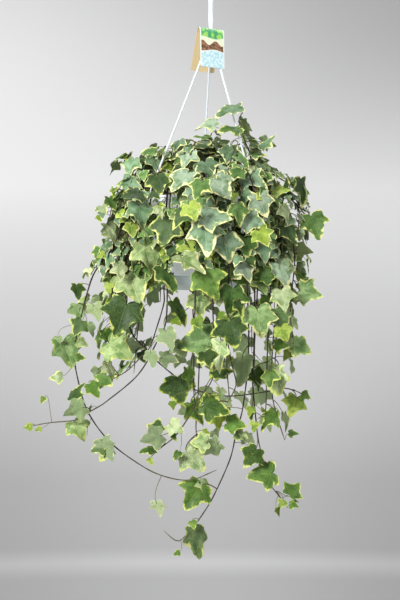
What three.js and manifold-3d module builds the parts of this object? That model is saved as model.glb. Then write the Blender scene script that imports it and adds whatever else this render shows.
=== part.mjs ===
// Variegated english ivy in a hanging pot: white pot with its saucer and hanger, folded care card,
// soil, and one solid for each leafy stem. Millimetres, +Z up, +X right and +Y away from the front.
// The origin is the inner crown of the hook, where the real thing hangs on a rod or a nail.
import * as THREE from "three";
import { mergeVertices } from "three/addons/utils/BufferGeometryUtils.js";
import Module from "manifold-3d";

const wasm = await Module();
wasm.setup();

const GAP = 0.3; // between pieces that touch

// Hook, shank and hub
const HOOK_RADIUS = 11; // inside the bend
const STRAP_THICK = 3;
const STRAP_WIDE = 6.8;
const NECK_WIDE = 3.8;
const HOOK_TIP = -29;
const SHANK_SHIFT = -26; // where the shank starts back to the plumb line
const SHANK_CENTRED = -46;
const TAPER_TOP = -52;
const TAPER_END = -63;
const COLLAR_TOP = -68.6;
const COLLAR_RADIUS = 3.4;
const HUB_TOP = -76;
const HUB_BASE = -84;
const HUB_RADIUS = 5;

// Pot, saucer and soil, round an upright axis that hangs a little left of the plumb line
const POT_X = -13;
const RIM_TOP = -320;
const RIM_RADIUS = 93;
const RIM_DROP = 16;
const WALL = 1.6;
const POT_TOP_RADIUS = 86;
const POT_BASE_RADIUS = 60;
const POT_BASE = -436;
const BASE_ROUND = 5;
const DRAIN_RADIUS = 4;
const DRAIN_RING = 36;
const DRAINS = 4;
const SAUCER_TOP = -438;
const SAUCER_BASE = -458;
const SAUCER_RADIUS = 62;
const SAUCER_FOOT = 52;
const BOSS_RADIUS = 12;
const SOIL_TOP = -333;
const ROOT_DEPTH = 11;
const ROUND_SIDES = 30;

// Hanger strands
const STRAND_RADIUS = 1.4;
const STRAND_START = 3.6; // from the plumb line, under the hub
const STRAND_RING = 88.6; // from the pot's axis, at the rim
const STRAND_HOLE = 1.75;
const STRAND_END = 10; // below the rim's top
const BARB_RADIUS = 2;
const BARB_LONG = 4;
const STRANDS = { left: 210, right: 330, rear: 90 };

// Care card: half its section, out from the fold and down, then its width and turn
const CARD_FRONT = [[0, -65.4], [4, -67.4], [7, -72], [9.4, -84], [18.4, -127]];
const CARD_BACK = [[0, -65.4], [-4, -67.4], [-7, -72], [-9.4, -84], [-23.5, -128]];
const CARD_THICK = 0.8;
const CARD_WIDE = 39;
const CARD_TURN = 22;
const CARD_TILT = 4;
const CARD_HOLE = 2.7;

// Stems and leaves
const STEM_RADIUS = 1.5;
const STEM_SIDES = 3;
const STEM_STEP = 31; // length of one straight piece of a stem
const SHOOT_STEP = 26;
const BACK_STEP = 36;
const HOLE_RADIUS = 3.2;
const HOLE_SIDES = 4;
const PETIOLE_RADIUS = 0.8;
const START_RADIUS = 0.5; // inside the stem
const BLADE_THICK = 1.3;
const BASE_TO_CENTRE = 0.33; // of the blade's length
const PETIOLE_BEND = 0.45;
const LONGEST_BEND = 18;
const LARGE = 36;
const YOUNG = 24; // a shorter blade is a young one, with three lobes

// Right half of a blade's outline, from beside the petiole to near the tip, and points on its
// midrib: across and along, in blade lengths from the petiole. Past the widest point of the outline
// the blade's faces meet at the second point of the midrib
const LARGE_BLADE = {
  edge: [[0.1, -0.14], [0.38, -0.13], [0.37, 0.04], [0.56, 0.28], [0.3, 0.38], [0.19, 0.6]],
  rib: [0.12, 0.42],
  widest: 4,
};
const MEDIUM_BLADE = {
  edge: [[0.38, -0.13], [0.35, 0.04], [0.55, 0.28], [0.24, 0.46]],
  rib: [0.12, 0.42],
  widest: 3,
};
const YOUNG_BLADE = { edge: [[0.26, -0.12], [0.48, 0.2], [0.24, 0.4]], rib: [0.24], widest: 5 };
const TIP = 0.84;

// Where the plant is looked at from: places of the front stems and leaves are given as seen on the
// upright plane through the hook, and a piece at another depth moves along the line of sight
const EYE = [-16, -2500, -473];

// Room that things keep round themselves
const BLADE_ROOM = 4;
const PETIOLE_ROOM = 1.9;
const STEM_ROOM = 2.4;
const POT_ROOM = 3;
const LEAF_FRONT = 12; // a leaf stands this far in front of its stem
const LEAF_SHIFTS = [0, 7, -7, 14, -14, 21, -21, 28, -28, 35, 42, -35, 49, 56, 63];

// Front trailing stems: angle and radius of the root in the soil, in degrees and mm round the pot's
// axis, then the route beyond the rim: across and up as seen, and depth
const TRAILERS = {
  stem_long_arc: [-169, 66, [
    [-148, -28, -395], [-172, -30, -428], [-184, -32, -458], [-199, -36, -518], [-205, -42, -551],
    [-199, -50, -593], [-184, -60, -641], [-151, -76, -686], [-106, -92, -720], [-71, -98, -737],
    [-31, -102, -743], [9, -104, -728],
  ]],
  stem_left: [-159, 74, [
    [-146, -52, -398], [-148, -56, -446], [-145, -58, -480], [-139, -60, -518], [-130, -62, -551],
  ]],
  stem_crossing_right: [-144, 66, [
    [-121, -66, -360], [-127, -68, -413], [-127, -66, -473], [-119, -60, -521], [-95, -52, -548],
    [-79, -48, -566], [-49, -46, -591], [-31, -46, -605], [21, -42, -617], [81, -34, -611],
    [108, -34, -605], [134, -34, -612], [147, -34, -623],
  ]],
  stem_left_front: [-139, 74, [
    [-92, -72, -345], [-98, -78, -390], [-101, -80, -420], [-106, -80, -473], [-109, -80, -500],
  ]],
  stem_crossing_left: [-123, 72, [
    [-67, -86, -345], [-68, -88, -398], [-70, -86, -458], [-70, -85, -477], [-82, -82, -518],
    [-92, -78, -545], [-106, -75, -560], [-124, -72, -578], [-146, -70, -591], [-166, -68, -599],
  ]],
  stem_long_left: [-115.5, 64, [
    [-65, -108, -383], [-65, -110, -456], [-68, -108, -510], [-83, -104, -540], [-94, -101, -563],
    [-109, -98, -585], [-128, -95, -603], [-151, -92, -621], [-163, -90, -630], [-184, -88, -642],
    [-203, -86, -653], [-241, -84, -657], [-269, -82, -662],
  ]],
  stem_middle_long: [-95, 72, [
    [-22, -106, -345], [-23, -112, -398], [-23, -114, -458], [-25, -114, -540], [-25, -114, -615],
    [-23, -113, -630], [-34, -110, -650], [-53, -106, -677], [-79, -102, -698], [-91, -100, -710],
  ]],
  stem_middle: [-88, 62, [
    [-11, -99, -345], [-11, -100, -398], [-14, -98, -503], [-17, -97, -567], [-19, -96, -615],
    [-22, -94, -668], [-16, -92, -690], [-10, -92, -705],
  ]],
  stem_middle_right: [-80, 74, [
    [9, -110, -345], [8, -124, -398], [3, -128, -464], [5, -130, -533], [5, -130, -578],
    [-1, -129, -599], [-16, -128, -620], [-26, -127, -641],
  ]],
  stem_curtain: [-71, 64, [
    [26, -104, -345], [27, -114, -398], [27, -116, -458], [26, -116, -533], [32, -114, -570],
    [38, -112, -600], [26, -110, -626],
  ]],
  stem_lowest: [-58, 74, [
    [48, -94, -345], [53, -99, -398], [54, -100, -435], [57, -100, -518], [56, -98, -570],
    [53, -96, -600], [47, -94, -641], [39, -92, -668], [33, -90, -698], [27, -88, -717],
    [14, -84, -747], [-1, -80, -777], [-16, -78, -800], [-26, -76, -813], [-46, -74, -834],
    [-58, -73, -830], [-70, -72, -819],
  ]],
  stem_right_long: [-47, 66, [
    [65, -76, -345], [66, -84, -435], [66, -85, -488], [65, -85, -540], [63, -84, -600],
    [65, -83, -623], [71, -78, -680], [77, -75, -705], [83, -72, -728], [89, -70, -749],
    [101, -67, -765], [116, -64, -785],
  ]],
  stem_right_front: [-33, 74, [
    [83, -62, -345], [89, -70, -398], [89, -74, -458], [86, -76, -525], [84, -78, -585],
    [83, -78, -630], [80, -78, -660],
  ]],
  stem_right: [-22, 64, [
    [101, -46, -345], [105, -52, -398], [101, -56, -473], [93, -60, -540], [92, -60, -608],
    [98, -58, -642], [111, -56, -683],
  ]],
  stem_right_side: [-14.5, 74, [
    [120, -32, -345], [125, -38, -398], [126, -40, -420], [122, -42, -458], [120, -42, -503],
    [126, -42, -540],
  ]],
  stem_right_short: [-5, 66, [[129, -14, -330], [132, -16, -360], [129, -18, -398]]],
};

// Front crown shoots: root as above, then the route above the soil
const SHOOTS = {
  shoot_left_high: [-139, 30, [[-41, -22, -308], [-44, -26, -281], [-34, -24, -255], [-22, -20, -237]]],
  shoot_top: [2, 53, [[51, 2, -308], [62, 4, -285], [59, 4, -255], [50, 4, -231], [42, 4, -206]]],
  shoot_middle: [70, 9, [[-8, 10, -308], [-10, 14, -270], [-5, 16, -240], [5, 16, -215]]],
  shoot_right_high: [-47, 49, [[23, -42, -308], [26, -52, -281], [33, -54, -255], [41, -54, -236]]],
  shoot_left: [-164, 59, [[-88, -22, -308], [-97, -26, -284], [-112, -28, -266], [-127, -30, -257]]],
  shoot_left_low: [-147, 54, [
    [-76, -48, -283], [-106, -50, -294], [-130, -50, -307], [-146, -52, -327], [-152, -52, -352],
  ]],
  shoot_right: [-7, 46, [
    [50, -10, -284], [77, -16, -278], [101, -22, -289], [125, -26, -306], [137, -28, -326],
  ]],
  shoot_front: [-84, 44, [
    [-7, -66, -283], [-7, -98, -292], [-7, -114, -320], [-7, -124, -355], [-7, -127, -388],
  ]],
  shoot_front_left: [-122, 44, [
    [-47, -62, -279], [-49, -94, -292], [-50, -108, -325], [-52, -112, -372],
  ]],
  shoot_front_right: [-42, 57, [
    [45, -60, -277], [60, -84, -291], [70, -97, -335], [75, -104, -378],
  ]],
  shoot_left_front: [-134, 52, [
    [-72, -50, -282], [-92, -70, -293], [-105, -88, -326], [-108, -94, -362],
  ]],
};

// Leaves of the front stems: across and up of the blade's middle as seen, its length, the way its
// tip points, in degrees from straight down towards the right, and how far the blade is turned
// about its own length from facing the front
const LEAVES = [
  // Crown, left to right
  [-120, -274, 34, -10, 15], [-129, -259, 17, -80, 20], [-84, -265, 34, 10, 40],
  [-67, -271, 22, -60, 30], [-36, -260, 34, -15, -20], [-12, -229, 32, -98, 74],
  [-12, -241, 32, -93, -76], [-148, -328, 27, 10, 45], [-117, -314, 38, -50, 140],
  [-118, -299, 34, 60, -35], [-105, -346, 46, 8, 10], [-148, -373, 38, 20, 25],
  [-118, -368, 25, 0, 20], [-45, -293, 50, -28, -10], [-18, -307, 36, -15, 20],
  [-28, -340, 29, 25, 0], [-6, -211, 34, -65, 55], [26, -194, 40, -70, 60],
  [28, -220, 38, -50, 45], [28, -248, 46, -5, -10], [8, -253, 24, 0, 30],
  [-3, -275, 35, 20, 15], [49, -265, 31, 20, -35], [71, -254, 30, 62, 55],
  [86, -236, 28, 138, 40], [65, -293, 42, 55, -15], [16, -304, 50, 30, 15],
  [77, -331, 40, 20, -10], [113, -296, 22, 178, 35], [103, -308, 36, 80, -58],
  [139, -310, 46, 6, 122], [157, -362, 44, 18, -15], [65, -355, 38, 65, 15],
  [8, -350, 48, 78, -40], [-7, -379, 54, 5, 5], [23, -395, 46, 10, -12],
  [112, -344, 37, 10, 25], [-37, -395, 31, -80, 20], [-27, -419, 46, 50, -35],
  [139, -398, 31, 82, 150], [-67, -371, 46, -15, 15], [-45, -349, 42, -35, -20],
  [-76, -341, 36, 25, 10], [-78, -299, 34, 10, -30], [43, -344, 36, 10, 25],
  [79, -379, 32, 30, -10], [119, -374, 40, 25, 40], [56, -317, 32, 85, 30],
  [80, -400, 34, 10, 15], [37, -286, 30, -30, -25],
  // Left side
  [-199, -460, 27, 0, 35], [-198, -490, 29, 12, -10], [-172, -491, 31, 10, 160],
  [-199, -514, 30, -30, 15], [-214, -551, 50, 15, -10], [-229, -535, 19, 0, 165],
  [-192, -538, 22, 60, 30], [-195, -559, 17, 80, 20], [-232, -589, 23, -78, 25],
  [-201, -610, 36, 172, 62], [-204, -638, 38, -65, 155], [-198, -668, 36, 28, 10],
  [-133, -500, 60, -18, 0], [-138, -547, 46, 55, 10], [-171, -583, 22, -10, 160],
  [-162, -596, 30, -30, -20], [-175, -608, 28, 35, 25], [-151, -580, 32, 0, 62],
  [-114, -541, 38, 82, 130], [-88, -562, 33, 5, 165], [-63, -560, 31, 80, 140],
  [-115, -454, 50, 18, -12], [-135, -430, 32, 10, 30], [-93, -410, 50, 8, 8],
  [-156, -697, 46, 25, 170], [-78, -785, 25, 10, 150], [-153, -455, 19, -5, 20],
  [-148, -478, 19, 10, -20], [-180, -517, 26, 5, 125],
  // Curtain in the middle and right
  [20, -437, 44, -12, 8], [-3, -449, 50, 28, -8], [31, -472, 44, -8, 12],
  [-18, -482, 38, 8, -10], [-19, -508, 23, 25, 10], [19, -500, 22, 70, 20],
  [31, -523, 45, 10, -8], [73, -505, 47, 8, 5], [104, -503, 40, 20, 30],
  [-22, -535, 58, -78, 15], [-4, -562, 29, 20, -20], [13, -557, 50, 4, 60],
  [19, -581, 36, 128, 66], [47, -578, 50, -12, 160], [70, -592, 38, 10, 40],
  [109, -472, 38, 12, 10], [149, -463, 40, 72, -5], [109, -434, 45, 15, -15],
  [136, -544, 34, 62, 15], [115, -556, 22, -30, 25], [89, -592, 32, 0, -30],
  [-64, -439, 46, 18, 55], [-46, -491, 42, 28, 64], [-63, -532, 36, 12, 158],
  [-48, -547, 29, 30, 150], [53, -394, 36, 0, 25], [77, -437, 35, -68, 30],
  [53, -431, 34, 15, 40], [106, -541, 27, 80, 40], [110, -523, 27, 25, 15],
  [100, -593, 46, 4, 62], [-33, -589, 33, 2, 60], [86, -476, 30, 10, 45],
  [44, -485, 28, 20, 50],
  // Below
  [-48, -608, 46, 8, 5], [-21, -643, 42, 22, 40], [8, -635, 46, 72, -15],
  [11, -655, 25, 10, 15], [38, -659, 34, 82, -30], [46, -676, 23, 65, 20],
  [-1, -695, 36, -55, 150], [-25, -713, 44, 42, 10], [-16, -686, 29, -85, -20],
  [-51, -706, 17, -20, 30], [-25, -767, 48, -35, 5], [-21, -836, 50, 5, -8],
  [61, -709, 38, -35, 12], [77, -734, 44, -75, -40], [125, -757, 31, 140, -10],
  [106, -779, 17, -30, 20], [125, -781, 17, 75, 30], [-88, -679, 37, -72, 155],
  [-81, -661, 27, 172, 15], [-94, -698, 28, -85, 66], [86, -653, 40, -30, 45],
  [124, -632, 37, -18, 10], [143, -617, 19, 62, 20], [124, -673, 17, 88, 40],
  [113, -655, 32, 2, 66], [-52, -664, 27, 60, 10],
];

// Trailing stems round the back, by rule
const BACK_TRAILERS = 12;
const BACK_FROM = 8; // degrees round the pot's axis
const BACK_TO = 172;
const BACK_ROOTS = [74, 62];
const BACK_SHELLS = [108, 132];
const BACK_DROPS = [250, 174, 300, 210, 330, 150, 280, 120, 130, 110, 240, 220];
const BACK_LEAF_LENGTHS = [50, 26]; // at the crown and at the stem's tip

// Crown shoots round the back, by rule
const BACK_SHOOTS = 6;
const BACK_SHOOTS_FROM = 20;
const BACK_SHOOTS_TO = 160;
const BACK_SHOOT_ROOTS = [30, 46];
const BACK_SHOOT_RISES = [96, 62];
const BACK_SHOOT_REACHES = [70, 112];

const SEED = 20571;

const radians = (degrees) => (degrees * Math.PI) / 180;
const plus = (a, b, k = 1) => [a[0] + k * b[0], a[1] + k * b[1], a[2] + k * b[2]];
const times = (a, k) => [a[0] * k, a[1] * k, a[2] * k];
const dot = (a, b) => a[0] * b[0] + a[1] * b[1] + a[2] * b[2];
const cross = (a, b) => [
  a[1] * b[2] - a[2] * b[1],
  a[2] * b[0] - a[0] * b[2],
  a[0] * b[1] - a[1] * b[0],
];
const size = (a) => Math.sqrt(dot(a, a));
const unit = (a) => times(a, 1 / size(a));
const apart = (a, b) => size(plus(a, b, -1));
const mix = (a, b, k) => plus(times(a, 1 - k), b, k);

// A draw between 0 and 1 on each call, always the same row of draws
function draws(seed) {
  let state = seed;
  return () => {
    state = (state * 48271) % 2147483647;
    return state / 2147483647;
  };
}

// A closed surface as a solid for joins and cuts
function solid(geometry) {
  const bare = geometry.clone();
  bare.deleteAttribute("normal");
  bare.deleteAttribute("uv");
  const merged = mergeVertices(bare, 1e-4);
  const corners = [...merged.index.array];
  const kept = [];
  for (let i = 0; i < corners.length; i += 3) {
    const [a, b, c] = corners.slice(i, i + 3);
    if (a !== b && b !== c && c !== a) kept.push(a, b, c);
  }
  const mesh = new wasm.Mesh({
    numProp: 3,
    vertProperties: new Float32Array(merged.attributes.position.array),
    triVerts: new Uint32Array(kept),
  });
  return new wasm.Manifold(mesh);
}

// A solid back as a surface for a mesh
function surface(body) {
  const { vertProperties, triVerts, numProp } = body.getMesh();
  const count = vertProperties.length / numProp;
  const places = new Float32Array(count * 3);
  for (let i = 0; i < count; i += 1) {
    places.set(vertProperties.slice(i * numProp, i * numProp + 3), i * 3);
  }
  const geometry = new THREE.BufferGeometry();
  geometry.setAttribute("position", new THREE.BufferAttribute(places, 3));
  geometry.setIndex([...triVerts]);
  geometry.computeVertexNormals();
  return geometry;
}

const finish = (color, roughness) => new THREE.MeshStandardMaterial({ color, roughness, metalness: 0 });
const whitePlastic = () => finish(0xdfe4e2, 0.4);
const leafGreen = () => finish(0x6f9160, 0.45);

function piece(name, geometry, material) {
  const mesh = new THREE.Mesh(geometry, material);
  mesh.name = name;
  return mesh;
}

// A body turned round the upright axis at across, from [radius, height] points
function turned(points, sides, across = 0) {
  const profile = points.map(([radius, height]) => new THREE.Vector2(radius, height));
  return new THREE.LatheGeometry(profile, sides).rotateX(Math.PI / 2).translate(across, 0, 0);
}

// An upright rod
function rod(radius, low, high, [x, y], sides) {
  const geometry = new THREE.CylinderGeometry(radius, radius, high - low, sides);
  return geometry.rotateX(Math.PI / 2).translate(x, y, (low + high) / 2);
}

// A straight rod between two points
function bar(radius, from, to, sides) {
  const way = plus(to, from, -1);
  const geometry = new THREE.CylinderGeometry(radius, radius, size(way), sides);
  const turn = new THREE.Quaternion().setFromUnitVectors(
    new THREE.Vector3(0, 1, 0),
    new THREE.Vector3(...unit(way)),
  );
  return geometry.applyQuaternion(turn).translate(...mix(from, to, 0.5));
}

// A flat outline in the upright plane through Y, made as wide as given along X
function plate(points, wide) {
  const shape = new THREE.Shape(points.map(([y, z]) => new THREE.Vector2(y, z)));
  const geometry = new THREE.ExtrudeGeometry(shape, { depth: wide, bevelEnabled: false });
  // the outline's own axes go to Y and Z, and its depth to X
  const axes = new THREE.Matrix4().makeBasis(
    new THREE.Vector3(0, 1, 0),
    new THREE.Vector3(0, 0, 1),
    new THREE.Vector3(1, 0, 0),
  );
  return geometry.translate(0, 0, -wide / 2).applyMatrix4(axes);
}

// Points of an arc round [y, z], in degrees
function arc([y, z], radius, from, to, steps) {
  return Array.from({ length: steps + 1 }, (_, i) => {
    const angle = radians(from + ((to - from) * i) / steps);
    return [y + radius * Math.cos(angle), z + radius * Math.sin(angle)];
  });
}

// Hook: a bent strap seen edge-on from the front, narrowed to a neck, on a collar and a hub
function hook() {
  const outer = HOOK_RADIUS + STRAP_THICK;
  const middle = [0, -HOOK_RADIUS];
  const outline = [
    [HOOK_RADIUS, HOOK_TIP],
    [outer, HOOK_TIP],
    ...arc(middle, outer, 0, 180, 12),
    [-outer, SHANK_SHIFT],
    [-STRAP_THICK / 2, SHANK_CENTRED],
    [-STRAP_THICK / 2, HUB_TOP],
    [STRAP_THICK / 2, HUB_TOP],
    [STRAP_THICK / 2, SHANK_CENTRED],
    [-HOOK_RADIUS, SHANK_SHIFT],
    ...arc(middle, HOOK_RADIUS, 180, 0, 12),
  ];
  const strap = solid(plate(outline, STRAP_WIDE));
  const half = STRAP_WIDE / 2;
  const neck = NECK_WIDE / 2;
  const reach = outer + 1;
  const front = new THREE.Shape([
    new THREE.Vector2(-half - 1, 1 + STRAP_THICK),
    new THREE.Vector2(-half, TAPER_TOP),
    new THREE.Vector2(-neck, TAPER_END),
    new THREE.Vector2(-neck, HUB_TOP - 1),
    new THREE.Vector2(neck, HUB_TOP - 1),
    new THREE.Vector2(neck, TAPER_END),
    new THREE.Vector2(half, TAPER_TOP),
    new THREE.Vector2(half + 1, 1 + STRAP_THICK),
  ]);
  const width = new THREE.ExtrudeGeometry(front, { depth: 2 * reach, bevelEnabled: false });
  width.translate(0, 0, -reach).rotateX(Math.PI / 2);
  const hub = turned([
    [0, HUB_BASE],
    [HUB_RADIUS, HUB_BASE],
    [HUB_RADIUS, HUB_TOP],
    [COLLAR_RADIUS, COLLAR_TOP - 2],
    [COLLAR_RADIUS, COLLAR_TOP],
    [0, COLLAR_TOP],
  ], 16);
  return surface(strap.intersect(solid(width)).add(solid(hub)));
}

// Where a strand meets the rim, and where it starts under the hub
function strandEnds(degrees) {
  const way = [Math.cos(radians(degrees)), Math.sin(radians(degrees))];
  return {
    start: [STRAND_START * way[0], STRAND_START * way[1], HUB_BASE - 1],
    rim: [POT_X + STRAND_RING * way[0], STRAND_RING * way[1]],
  };
}

// Strand: a straight cord down to the rim, upright through its hole, with a barb under the rim
function strand(degrees) {
  const { start, rim } = strandEnds(degrees);
  const bend = [...rim, RIM_TOP + 6];
  const slope = solid(bar(STRAND_RADIUS, start, bend, 6));
  const peg = solid(rod(STRAND_RADIUS, RIM_TOP - STRAND_END, RIM_TOP + 7, rim, 6));
  const barbTop = RIM_TOP - WALL - GAP;
  const barb = solid(rod(BARB_RADIUS, barbTop - BARB_LONG, barbTop, rim, 6));
  return surface(slope.add(peg).add(barb));
}

// Folded card: two leaves of stiff paper joined at a rounded fold, with a hole for the neck
function card() {
  const outer = [...[...CARD_BACK].reverse(), ...CARD_FRONT.slice(1)];
  const inner = outer.map((point, i) => {
    const before = outer[Math.max(i - 1, 0)];
    const after = outer[Math.min(i + 1, outer.length - 1)];
    const way = unit([after[0] - before[0], after[1] - before[1], 0]);
    return [point[0] + CARD_THICK * way[1], point[1] - CARD_THICK * way[0]];
  });
  const outline = [...outer, ...inner.reverse()].map(([out, z]) => [-out, z]);
  const paper = plate(outline, CARD_WIDE);
  const fold = CARD_FRONT[0][1];
  paper.translate(0, 0, -fold).rotateY(radians(CARD_TILT)).rotateZ(radians(CARD_TURN));
  paper.translate(0, 0, fold);
  const hole = rod(CARD_HOLE, TAPER_END - 12, TAPER_END, [0, 0], 12);
  return surface(solid(paper).subtract(solid(hole)));
}

function pot() {
  const floor = POT_BASE + 2;
  const shell = turned([
    [0, floor],
    [POT_BASE_RADIUS - WALL - BASE_ROUND / 2, floor],
    [POT_BASE_RADIUS - WALL + 1, floor + BASE_ROUND],
    [POT_TOP_RADIUS - WALL, RIM_TOP],
    [RIM_RADIUS, RIM_TOP],
    [RIM_RADIUS, RIM_TOP - RIM_DROP],
    [RIM_RADIUS - WALL, RIM_TOP - RIM_DROP],
    [RIM_RADIUS - WALL, RIM_TOP - WALL],
    [POT_TOP_RADIUS, RIM_TOP - WALL],
    [POT_BASE_RADIUS + 1, POT_BASE + BASE_ROUND],
    [POT_BASE_RADIUS - BASE_ROUND / 2, POT_BASE],
    [0, POT_BASE],
  ].reverse(), ROUND_SIDES, POT_X);
  let body = solid(shell);
  for (const degrees of Object.values(STRANDS)) {
    const { rim } = strandEnds(degrees);
    body = body.subtract(solid(rod(STRAND_HOLE, RIM_TOP - WALL - 1, RIM_TOP + 1, rim, 8)));
  }
  for (let i = 0; i < DRAINS; i += 1) {
    const angle = (2 * Math.PI * (i + 0.5)) / DRAINS;
    const place = [POT_X + DRAIN_RING * Math.cos(angle), DRAIN_RING * Math.sin(angle)];
    body = body.subtract(solid(rod(DRAIN_RADIUS, POT_BASE - 1, floor + 1, place, 8)));
  }
  return surface(body);
}

// Saucer: a shallow tray with a boss in its middle that the pot's floor sits on
function saucer() {
  const floor = SAUCER_BASE + 2;
  return turned([
    [0, SAUCER_BASE],
    [SAUCER_FOOT, SAUCER_BASE],
    [SAUCER_RADIUS - 2, SAUCER_BASE + 6],
    [SAUCER_RADIUS, SAUCER_TOP],
    [SAUCER_RADIUS - WALL, SAUCER_TOP],
    [SAUCER_RADIUS - 2 - WALL, SAUCER_BASE + 7],
    [SAUCER_FOOT - 1, floor],
    [BOSS_RADIUS, floor],
    [BOSS_RADIUS, POT_BASE - GAP],
    [0, POT_BASE - GAP],
  ], ROUND_SIDES, POT_X);
}

// A stem's root: its place on the soil
function rootOf([degrees, radius]) {
  return [
    POT_X + radius * Math.cos(radians(degrees)),
    radius * Math.sin(radians(degrees)),
  ];
}

// Soil: fills the pot, with a plain square hole for each stem
function soil(stems) {
  const slope = (POT_TOP_RADIUS - POT_BASE_RADIUS) / (RIM_TOP - POT_BASE);
  const bottom = POT_BASE + 2 + GAP;
  const wallAt = (z) => POT_BASE_RADIUS - 1 - WALL - GAP + slope * (z - POT_BASE);
  let body = solid(turned([
    [0, bottom],
    [POT_BASE_RADIUS - WALL - BASE_ROUND / 2 - 2, bottom],
    [wallAt(POT_BASE + BASE_ROUND + 1) - 1, POT_BASE + BASE_ROUND + 1],
    [wallAt(SOIL_TOP), SOIL_TOP],
    [0, SOIL_TOP],
  ], ROUND_SIDES, POT_X));
  for (const { root } of stems) {
    const hole = rod(HOLE_RADIUS, SOIL_TOP - ROOT_DEPTH - GAP, SOIL_TOP + 1, root, HOLE_SIDES);
    body = body.subtract(solid(hole));
  }
  return surface(body);
}

// The place at a depth that is seen at across and up on the plane through the hook
function inSight([across, depth, up]) {
  const k = 1 + depth / -EYE[1];
  return [EYE[0] + (across - EYE[0]) * k, depth, EYE[2] + (up - EYE[2]) * k];
}

// Where a place is seen on the plane through the hook
function seenAt(place) {
  const k = 1 + place[1] / -EYE[1];
  return [EYE[0] + (place[0] - EYE[0]) / k, EYE[2] + (place[2] - EYE[2]) / k];
}

// A stem's first points: upright in its hole and just above the soil
function upright(root) {
  return [
    [...root, SOIL_TOP - ROOT_DEPTH],
    [...root, SOIL_TOP + 1],
    [...root, SOIL_TOP + 10],
    [...root, SOIL_TOP + 20],
  ];
}

// A trailing stem's route over the rim, out to the first point beyond it
function overRim(degrees, radius, beyond) {
  const out = Math.hypot(beyond[0] - POT_X, beyond[1]);
  const over = Math.min(out - 6, RIM_RADIUS + 11) / out;
  return [
    [...rootOf([degrees, (radius + RIM_RADIUS) / 2]), RIM_TOP + 25],
    [POT_X + over * (beyond[0] - POT_X), over * beyond[1], RIM_TOP + 12],
  ];
}

// A stem as its curve, cut into straight pieces at evenly spaced rings
function stemAlong(name, root, points, step) {
  const path = points.map((point) => new THREE.Vector3(...point));
  const curve = new THREE.CatmullRomCurve3(path, false, "catmullrom", 0.5);
  const steps = Math.max(4, Math.round(curve.getLength() / step));
  const rings = curve.getSpacedPoints(steps).map((point) => point.toArray());
  return { name, root, curve, steps, rings, leaves: [] };
}

function trailer(name, degrees, radius, route, step) {
  const root = rootOf([degrees, radius]);
  const points = [...upright(root), ...overRim(degrees, radius, route[0]), ...route];
  return stemAlong(name, root, points, step);
}

function shoot(name, degrees, radius, route, step) {
  const root = rootOf([degrees, radius]);
  return stemAlong(name, root, [...upright(root), ...route], step);
}

// A trailing stem of the back: it hangs on a shell round the pot and sways a little
function backTrailer(i, draw) {
  const degrees = BACK_FROM + ((BACK_TO - BACK_FROM) * i) / (BACK_TRAILERS - 1);
  const shell = BACK_SHELLS[i % 2];
  const drop = BACK_DROPS[i];
  const levels = Math.round(drop / 48);
  const route = [];
  for (let k = 0; k <= levels; k += 1) {
    const share = k / levels;
    const angle = radians(degrees + 6 * (draw() - 0.5) * share);
    const radius = shell + 8 * Math.sin(3 * share + i);
    route.push([
      POT_X + radius * Math.cos(angle),
      radius * Math.sin(angle),
      RIM_TOP - 25 - drop * share,
    ]);
  }
  return trailer(`stem_back_${i + 1}`, degrees, BACK_ROOTS[i % 2], route, BACK_STEP);
}

// A crown shoot of the back: it rises over the soil and arches outwards
function backShoot(i) {
  const degrees = BACK_SHOOTS_FROM + ((BACK_SHOOTS_TO - BACK_SHOOTS_FROM) * i) / (BACK_SHOOTS - 1);
  const radius = BACK_SHOOT_ROOTS[i % 2];
  const rise = BACK_SHOOT_RISES[i % 2];
  const reach = BACK_SHOOT_REACHES[i % 2];
  const way = [Math.cos(radians(degrees)), Math.sin(radians(degrees))];
  const at = (out, up) => [POT_X + out * way[0], out * way[1], SOIL_TOP + up];
  const route = [
    at(radius + 0.15 * (reach - radius), 0.5 * rise),
    at(radius + 0.45 * (reach - radius), 0.9 * rise),
    at(radius + 0.8 * (reach - radius), rise),
    at(reach, 0.88 * rise),
  ];
  return shoot(`shoot_back_${i + 1}`, degrees, radius, route, SHOOT_STEP);
}

// A blade's frame. Its tip points at the angle tip from straight down, seen from the way it faces,
// and it is turned about its length and leant so that its face looks up
function frameOf(facing, tip, turn, lean) {
  const out = [Math.cos(radians(facing)), Math.sin(radians(facing)), 0];
  const right = [-out[1], out[0], 0];
  const along = plus(times(right, Math.sin(radians(tip))), [0, 0, -1], Math.cos(radians(tip)));
  const side = cross(out, along);
  const c = Math.cos(radians(turn));
  const s = Math.sin(radians(turn));
  const face = plus(times(out, c), side, s);
  const across = plus(times(side, c), out, -s);
  const l = radians(lean);
  return {
    along: plus(times(along, Math.cos(l)), face, Math.sin(l)),
    face: plus(times(face, Math.cos(l)), along, -Math.sin(l)),
    across,
  };
}

function outlineFor(long) {
  if (long < YOUNG) return YOUNG_BLADE;
  return long < LARGE ? MEDIUM_BLADE : LARGE_BLADE;
}

// A point of a blade: it folds up a little along the midrib, droops to the tip and cups at its sides
function bladePoint({ base, long, fold, droop, along, face, across }, u, v) {
  const rise = fold * Math.abs(u) - droop * v * Math.abs(v) - 0.3 * u * u;
  return plus(plus(plus(base, across, u * long), along, v * long), face, rise * long);
}

// The vector turned as the direction from turns into the direction to
function swing(vector, from, to) {
  const axis = cross(from, to);
  const c = dot(from, to);
  return plus(plus(times(vector, c), cross(axis, vector)), axis, dot(axis, vector) / (1 + c));
}

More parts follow.
